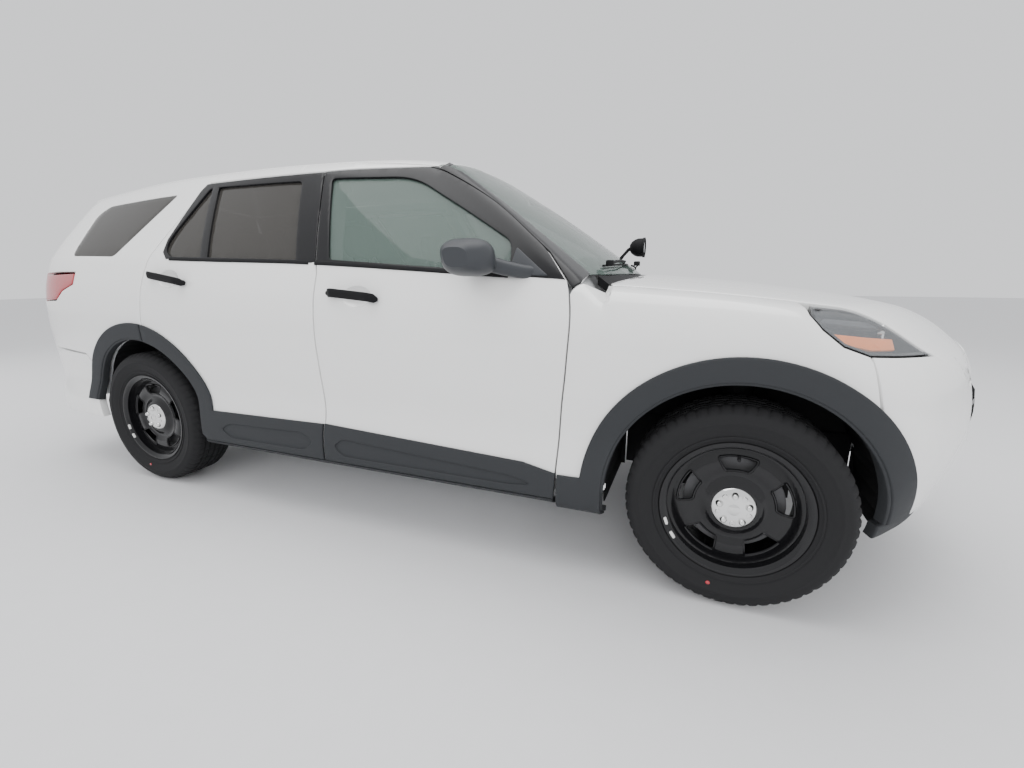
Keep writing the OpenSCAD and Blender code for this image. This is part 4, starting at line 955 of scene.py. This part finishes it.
emit("taillight_lenses", panel(REAR, lamp_tail_loop, d0=0.5, d1=30, gap=2, hem=4), red,
    both=True, replace=["taillights"])

# ---------------------------------------------------------------- headlight internals

inside_lamp = Build()
for y, z, r in ((730, 978, 30), (650, 966, 28)):
    bezel = [(r, -8), (r + 6, -8), (r + 8, 4), (r + 2, 10), (r, 4)]
    bulb = [(0.5, -6), (r * 0.6, -2), (r * 0.92, -6), (r * 0.92, -12), (0.5, -12)]
    projector = Build().lathe(bezel, 40).lathe(bulb, 40)
    inside_lamp.join(projector.moved(turn("Z", -70), from_end([(y, z)], 1)[0] - [58, 0, 0]))
emit("headlight_projectors", inside_lamp, chrome, slot="lamp_clear", both=True)
reflector_loop = from_side([(front_axle + 215, 996), (front_axle + 262, 962), (front_axle + 342, 944),
    (front_axle + 420, 942), (front_axle + 420, 972), (front_axle + 330, 982)])
emit("amber_side_reflectors", panel(FRONT, reflector_loop, d0=9, d1=20, gap=0, hem=2, step=14),
    amber, both=True)
brow_loop = from_side([(front_axle + 190, 1030), (front_axle + 330, 1012), (front_axle + 560, 986),
    (front_axle + 560, 1004), (front_axle + 330, 1030), (front_axle + 200, 1042)])
emit("headlight_brows", panel(FRONT, brow_loop, d0=12, d1=30, gap=0, hem=2, step=20), mirror_grey,
    slot="lamp_clear", both=True)

# ---------------------------------------------------------------- wheels and tyres


def tyre_build():
    """Closed tyre section with ribs, grooves and shoulder blocks."""
    side = [(230, 99), (249, 100), (252, 108), (262, 113), (264, 116), (270, 117), (272, 114),
        (286, 119), (300, 123.5), (314, 124.8), (316, 126.2), (321, 126.2), (323, 124.8),
        (332, 123.5), (342, 121), (350, 117), (357, 111), (364, 104), (368, 96)]
    tread = []
    for a, b in ((90, 66), (58, 38), (30, 8)):
        tread += [(371.6, a), (372, (a + b) / 2), (372, b), (364, b - 1.5), (364, b - 6.5)]
    half = side + tread
    loop = half + [(r, -a) for r, a in half[::-1]]
    n = 240
    b = Build().lathe(loop, n)
    v = b.v[0]
    r = np.hypot(v[:, 0], v[:, 2])
    k = np.round(np.arctan2(v[:, 2], v[:, 0]) / (2 * math.pi) * n).astype(int) % n
    left = v[:, 1] > 0
    offset = np.where(left, 0, 2)
    block = (r > 356) & (np.abs(v[:, 1]) > 60) & ((k + offset) % 4 == 0)
    sipe = (r > 370) & (np.abs(v[:, 1]) <= 60) & ((k + offset) % 6 == 0)
    for mask, depth in ((block, 5.0), (sipe, 3.5)):
        v[mask, 0] *= 1 - depth / r[mask]
        v[mask, 2] *= 1 - depth / r[mask]
    return b


class DiscChart:
    """Wheel disc facing +Y, with the height given by the radius."""
    prof_r = np.array([0, 60, 84, 94, 112, 126, 150, 176, 200, 214, 226, 240.0])
    prof_y = np.array([84, 84, 83, 74, 64, 66, 76, 76, 66, 62, 66, 78.0])

    @classmethod
    def height(cls, r):
        return np.interp(r, cls.prof_r, cls.prof_y)

    @staticmethod
    def uv(p):
        return np.stack([p[:, 0], p[:, 2]], 1)

    @classmethod
    def point(cls, uv):
        return np.stack([uv[:, 0], cls.height(np.hypot(uv[:, 0], uv[:, 1])), uv[:, 1]], 1)

    @classmethod
    def normals(cls, p):
        r = np.maximum(np.hypot(p[:, 0], p[:, 2]), 1e-6)
        s = (cls.height(r + 2) - cls.height(r - 2)) / 4
        n = np.stack([-s * p[:, 0] / r, np.ones(len(r)), -s * p[:, 2] / r], 1)
        return n / np.linalg.norm(n, axis=1)[:, None]


def ring_pts(r, n=72, cx=0.0, cz=0.0):
    t = np.arange(n) * 2 * math.pi / n
    return np.stack([cx + r * np.cos(t), 0 * t, cz + r * np.sin(t)], 1)


def bean(middle):
    """Wheel window: an arched slot with round ends."""
    a = [(math.radians(middle + d), 186) for d in np.linspace(-19, 19, 14)]
    c = [(math.radians(middle + d), 136) for d in np.linspace(15, -15, 10)]
    pts = [(r * math.cos(t), r * math.sin(t)) for t, r in a + c]
    loop = np.array(rounded(pts, [16] + [0.01] * 12 + [16, 14] + [0.01] * 8 + [14]))
    return np.stack([loop[:, 0], 0 * loop[:, 0], loop[:, 1]], 1)


windows = [bean(90 + 72 * i) for i in range(5)]
disc = panel(DiscChart, ring_pts(228), windows, d0=0, d1=7, gap=0, hole_gap=0, hem=2.5, step=9)
for window in windows:
    edge = DiscChart.uv(window)
    lip = []
    for grow, rise in ((1.0, 1.5), (4.0, 3.6), (7.0, 1.0), (7.0, -2.0), (1.0, -2.0)):
        ring = DiscChart.point(shift(edge, grow))
        ring[:, 1] += rise
        lip.append(ring)
    disc.rings(lip + [lip[0]])
disc.lathe([(222, 66), (229, 64), (229, 94), (236, 101), (246, 104), (247, 109), (240, 109.5),
    (231, 104), (223, 96)], 120)
disc.lathe([(229, 70), (221, 60), (206, 46), (206, -30), (229, -52), (229, -101), (246, -103),
    (246, -109), (223, -104), (222, -54), (199, -34), (199, 44), (214, 58)], 120)

cap = Build().lathe([(0.6, 98), (30, 98), (44, 96), (56, 95), (66, 92), (73, 87), (77, 80), (74, 76),
    (0.6, 76)], 80)
for i in range(5):
    t = math.radians(90 + 72 * i)
    knob = Build().lathe([(0.4, 12), (7, 12), (10, 9), (12.5, 3), (14, -4), (0.4, -4)], 24)
    cap.join(knob.moved(None, (50 * math.cos(t), 95, 50 * math.sin(t))))
cap.lathe([(0.4, 101), (17, 101), (20, 99), (21, 94), (0.4, 94)], 40)
for i in range(5):
    t = math.radians(54 + 72 * i)
    dimple = Build().lathe([(6, 2.2), (8.5, 2.6), (10, 0.5), (6, 0.5)], 20)
    cap.join(dimple.moved(None, (52 * math.cos(t), 94.4, 52 * math.sin(t))))

# Hub with its vented brake disc
hub = Build().lathe([(60, 60), (76, 58), (76, 30), (168, 27), (169, 25), (169, 14), (168, 12),
    (80, 10), (60, 10)], 96)
for i in range(36):
    t = 2 * math.pi * i / 36
    hub.join(Build().box((96, 15, -2), (163, 24, 2), 0.5, 1).moved(turn("Y", math.degrees(t))))
valve = Build().tube([(0, 50, 196), (0, 62, 190), (0, 84, 182)], 4.5, 12)
valve.tube([(0, 78, 184), (0, 92, 179)], 6, 12)
weights = Build()
for t in (200, 214):
    place = (234 * math.cos(math.radians(t)), 0, 234 * math.sin(math.radians(t)))
    weights.join(Build().box((-14, 97, -5), (14, 111, 5), 3, 2).moved(turn("Y", 90 - t), place))
dot = Build().lathe([(0.3, 1.2), (6, 1.2), (7.5, 0.4), (7.5, -1), (0.3, -1)], 24)
dot.moved(None, (292 * math.cos(math.radians(258)), 121.4, 292 * math.sin(math.radians(258))))
tyre = tyre_build()


def placed(build, x):
    """A copy of a wheel piece at its axle on the left."""
    return Build().add(np.vstack(build.v) + [x, wheel_y, axle_z], build.f)


wheel_pieces = (("disc", disc, wheel_black, None), ("cap", cap, chrome, None),
    ("brake", hub, iron, None), ("valve", valve, rubber, None),
    ("weights", weights, weight_white, None), ("paint_dot", dot, red, "tyre_rubber"))
for end, axle in (("front", front_axle), ("rear", rear_axle)):
    for side, right in SIDES:
        wheel = f"{end}_{side}_wheel"
        emit(f"{end}_{side}_tyre_treaded", placed(tyre, axle), rubber, wheel, right,
            [f"{end}_{side}_tyre"])
        for key, build, look, slot in wheel_pieces:
            nodes = [wheel] if key == "disc" else []
            emit(f"{wheel}_{key}", placed(build, axle), look, wheel, right, nodes, slot)

# ---------------------------------------------------------------- mirrors

foot_x = a_x - 150
foot_z = float(belt(foot_x)) + 36
foot_y = float(side_y(foot_x, foot_z))


def super_ring(c, ax, az, e=2.6, n=40, lean=0.0):
    t = np.arange(n) * 2 * math.pi / n
    u = np.sign(np.cos(t)) * np.abs(np.cos(t)) ** (2 / e)
    w = np.sign(np.sin(t)) * np.abs(np.sin(t)) ** (2 / e)
    return np.stack([c[0] + ax * u + lean * w, c[1] + 0 * t, c[2] + az * w], 1)


head_rings = []
for t in np.linspace(0, 1, 15):
    y = foot_y + 40 + t * (1131 - foot_y - 40)
    grow = math.sin(math.pi * (0.07 + 0.86 * t)) ** 0.42
    head_rings.append(super_ring((foot_x - 188 - 8 * t, y, foot_z + 40 - 4 * t),
        98 * grow * (1 - 0.08 * t), 70 * grow * (1 - 0.08 * t), 3.0, 40, -8))
head = Build().rings(head_rings, caps=(True, True))
arm_path = bend([(foot_x + 4, foot_y - 4, foot_z - 14), (foot_x - 30, foot_y + 26, foot_z - 10),
    (foot_x - 90, foot_y + 62, foot_z + 4), (foot_x - 160, foot_y + 84, foot_z + 26)], 6)
arm = Build().tube(arm_path, list(np.linspace(24, 30, len(arm_path))), 16)
sail = panel(SIDE, from_side(rounded([(a_x - 234, float(belt(a_x)) + 20), (a_x - 216, belt_z + 56),
    (a_x - 74, float(belt(a_x)) + 16)], [8, 12, 8])), d0=-9, d1=-0.8, gap=0, hem=4, step=14)
for side, right in SIDES:
    node, door = f"{side}_mirror", f"front_{side}_door"
    emit(f"{node}_housing", head, mirror_grey, door, right, [node])
    emit(f"{node}_arm", arm, mirror_grey, door, right)
    emit(f"{node}_sail", sail, mirror_grey, door, right)

# ---------------------------------------------------------------- wipers, spotlight and grille

wipe = Build()
for y0 in (75, -605):
    arm_pts, blade = [], []
    for t in np.linspace(0, 1, 20):
        y = y0 + 60 + 500 * t
        x = cowl_x - 50 - 50 * (y / 700) ** 2
        z = float(top_z(np.array([x]), np.array([y]))[0])
        blade.append((x, y, z + 9))
        arm_pts.append((x + 22 * (1 - t) + 6, y, z + 20 + 6 * math.sin(math.pi * t)))
    wipe.tube(blade, 5, 8)
    wipe.tube(arm_pts[:15], list(np.linspace(8, 4, 15)), 10)
    wipe.tube([arm_pts[14], tuple(np.array(blade[14]) + [0, 0, 4])], 4, 8)
    knob = Build().lathe([(0.5, 12), (14, 12), (17, 8), (17, -12), (0.5, -12)], 24)
    wipe.join(knob.moved(turn("X", 90), arm_pts[0]))
emit("wiper_set", wipe, black, replace=["wipers"])

lamp_at = (a_x + 20, 862, belt_z + 137)
lamp_z = belt_z + 137
spot = Build().lathe([(0.5, -52), (22, -50), (40, -38), (54, -18), (61, 2), (62, 34), (66, 38),
    (66, 50), (61, 51), (60, 44), (0.5, 42)], 56).moved(turn("Z", -90), lamp_at)
spot.tube([(a_x - 26, 862, lamp_z - 4), (a_x - 40, 860, lamp_z - 14), (a_x - 70, 850, lamp_z - 50),
    (a_x - 96, 843, lamp_z - 84)], [10, 11, 10, 13], 16)
emit("spotlight_housing", spot, black, replace=["spotlight"])
lens = Build().lathe([(0.5, 47), (30, 46), (58, 43), (58, 41), (0.5, 41)], 56)
emit("spotlight_lens", lens.moved(turn("Z", -90), lamp_at), mirror_glass)

# ---------------------------------------------------------------- cabin

seat_z = 690.0


def pillow(size, crown, e=4.5, n=36, rows=9):
    """Crowned closed cushion about the origin, with half-sizes along X, Y and Z."""
    rings = []
    for t in np.linspace(-1, 1, rows):
        k = max((1 - abs(t) ** 5) ** 0.2, 0.55)
        ring = super_ring((0, 0, 0), size[0] * k, size[1] * k, e, n)
        rings.append(np.stack([ring[:, 0], t * size[2] * np.ones(n), ring[:, 2]], 1))
    b = Build().rings(rings, caps=(True, True)).upright()
    v = b.v[0]
    v[:, 2] += crown * (1 - (v[:, 0] / size[0]) ** 2) * (1 - (v[:, 1] / size[1]) ** 2) * (v[:, 2] > 0)
    return b


def seat_parts(x, y, wide, back_h, heads):
    """Cushion, back and head restraints, as separate builds."""
    parts = {"cushion": pillow((245, wide / 2 - 6, 62), 16).moved(None, (x, y, seat_z - 76))}
    back = pillow((back_h / 2 - 6, wide / 2 - 22, 52), 14)
    back.moved(turn("Y", 90)).moved(turn("Y", -18))
    parts["back"] = back.moved(None, (x - 248 - 0.31 * back_h / 2, y, seat_z - 40 + 0.48 * back_h))
    for i, hy in enumerate(heads):
        rest = pillow((88, 122, 38), 10, 3.4).moved(turn("Y", 80))
        parts[f"head_{i}"] = rest.moved(None, (x - 434, y + hy, seat_z + 652))
    return parts


seat_y = 395
seat_rows = (("front_left_seat", "front_seats", (b_x + 250, seat_y, 520, 600, (0,))),
    ("front_right_seat", "front_seats", (b_x + 250, -seat_y, 520, 600, (0,))),
    ("rear_seat", "rear_seat", (b_x - 640, 0, 1280, 620, (-330, 330))))
for seat, node, place in seat_rows:
    for key, b in seat_parts(*place).items():
        o = emit(f"{seat}_{key}", b, seat_cloth, replace=[node], subdivide=1)

frames = Build()
for sy in (seat_y, -seat_y):
    frames.box((b_x + 60, sy - 205, sill_z + 54), (b_x + 450, sy + 205, seat_z - 150), 14, 3)
    for dy in (-60, 60):
        frames.tube([(b_x - 176, sy + dy, seat_z + 520), (b_x - 184, sy + dy, seat_z + 600)], 6, 10)
frames.box((b_x - 800, -498, sill_z + 54), (b_x - 440, 498, seat_z - 112), 14, 3)
emit("seat_bases", frames, chassis)

board = Build()
board_rings = []
for y in np.linspace(-752, 752, 31):
    s = 1 - 0.04 * (y / 752) ** 2
    hump = 14 * math.exp(-((y - seat_y) / 190) ** 2)
    section = ((-100, 905), (-86, 1000), (-92, 1078 * s), (-130, 1086 * s + 2),
        (-200, 1082 * s + hump * 0.4), (-246, 1066 * s + hump), (-262, 1040 * s), (-270, 1000),
        (-276, 950), (-272, 912), (-240, 902), (-160, 900))
    board_rings.append(np.array([[a_x + dx, y, z] for dx, z in section]))
board.rings(board_rings, caps=(True, True))
board.box((a_x - 900, -108, sill_z + 52), (a_x - 290, 108, sill_z + 468), 22, 3)
board.box((a_x - 300, -108, sill_z + 52), (a_x - 262, 108, 900), 14, 3)
board.box((a_x - 284, -104, 930), (a_x - 268, 104, 1052), 6, 2)
for y in (-700, -150, 150, 700):
    vent = Build().lathe([(30, 0), (38, 4), (40, 10), (30, 12), (27, 4)], 28)
    board.join(vent.moved(turn("Z", 90), (a_x - 264, y, 1020)))
tilt = turn("Y", -65)
column = (a_x - 420, seat_y, 960)
shroud = Build().lathe([(0.5, -120), (36, -120), (42, -140), (43, -230), (0.5, -230)], 32)
board.join(shroud.upright().moved(tilt, column))
emit("dashboard_moulded", board, dash, replace=["dashboard"])

rim_r = 173
rim_rings = []
q = np.arange(16) * 2 * math.pi / 16
for a in np.arange(64) * 2 * math.pi / 64:
    out_way = np.array([math.cos(a), math.sin(a), 0])
    rim_rings.append(rim_r * out_way
        + 14.5 * (np.cos(q)[:, None] * out_way + np.sin(q)[:, None] * np.array([0, 0, 1.0])))
steering = Build().rings(rim_rings + [rim_rings[0]])
boss = Build().lathe([(0.5, 17), (40, 16), (56, 10), (61, 0), (58, -12), (30, -16), (0.5, -16)], 40)
steering.join(boss.upright())
for d in (0, 120, 240):
    steering.join(Build().box((44, -15, -7), (162, 15, 7), 6, 3).moved(turn("Z", d)))
steering.join(Build().lathe([(0.5, -14), (24, -14), (25, -70), (0.5, -78)], 28).upright())
emit("steering_wheel_rim", steering.moved(tilt, column), black, "steering_wheel",
    replace=["steering_wheel"])

# ---------------------------------------------------------------- carried-over design nodes

kept = {"side_frames": inner, "floor_pan": inner, "firewall": inner, "front_rails": inner,
    "cowl": black, "engine": iron, "exhaust": steel, "front_subframe": chassis, "rear_axle": chassis,
    "left_knuckle": iron, "right_knuckle": iron, "grille": gloss_black, "wheel_liners": black,
    "jack_pads": black, "rear_plate_bracket": black}
for node, look in kept.items():
    o = bpy.data.objects[node]
    if not o.data.materials:
        o.data.materials.append(look)
    for i in range(len(o.data.materials)):
        o.data.materials[i] = look

# ---------------------------------------------------------------- floor, light and camera

floor_mat = material("pale_floor", (0.72, 0.72, 0.73), 0.5, grain=0.1, scale=30, mottle=0.02)
bpy.ops.mesh.primitive_plane_add(size=60, location=(0, 0, 0))
floor = bpy.context.object
floor.name = "studio_floor"
floor.data.materials.append(floor_mat)

world = bpy.context.scene.world or bpy.data.worlds.new("studio")
bpy.context.scene.world = world
world.use_nodes = True
world.node_tree.nodes["Background"].inputs["Color"].default_value = (0.93, 0.94, 0.96, 1)
world.node_tree.nodes["Background"].inputs["Strength"].default_value = 1.15


def area(name, place, target, size, size_y, power):
    data = bpy.data.lights.new(name, "AREA")
    data.shape = "RECTANGLE"
    data.size, data.size_y, data.energy = size, size_y, power
    o = bpy.data.objects.new(name, data)
    o.location = place
    o.rotation_euler = (Vector(target) - Vector(place)).to_track_quat("-Z", "Y").to_euler()
    bpy.context.scene.collection.objects.link(o)
    return o


area("overhead", (0.3, -0.5, 5.6), (0, 0, 0.6), 7.5, 4.2, 260)
area("right_side", (1.2, -7.0, 3.2), (0, 0, 0.9), 7.0, 2.6, 150).visible_glossy = False
area("front_end", (7.2, -2.6, 2.8), (1.2, 0, 0.7), 4.0, 2.4, 110).visible_glossy = False
area("rear_end", (-7.0, -1.5, 3.2), (-1.5, 0, 0.8), 4.0, 2.4, 90).visible_glossy = False
area("left_side", (-0.5, 6.5, 3.4), (0, 0, 0.9), 6.0, 2.4, 120).visible_glossy = False

yaw, pitch = 0.3715, 0.2258
cam_data = bpy.data.cameras.new("photo_view")
cam_data.sensor_width, cam_data.lens = 36.0, 16.71
camera = bpy.data.objects.new("photo_view", cam_data)
camera.location = (1.4402, -2.6332, 1.1669)
look_way = Vector((-math.sin(yaw) * math.cos(pitch), math.cos(yaw) * math.cos(pitch),
    -math.sin(pitch)))
camera.rotation_euler = look_way.to_track_quat("-Z", "Y").to_euler()
bpy.context.scene.collection.objects.link(camera)
bpy.context.scene.camera = camera
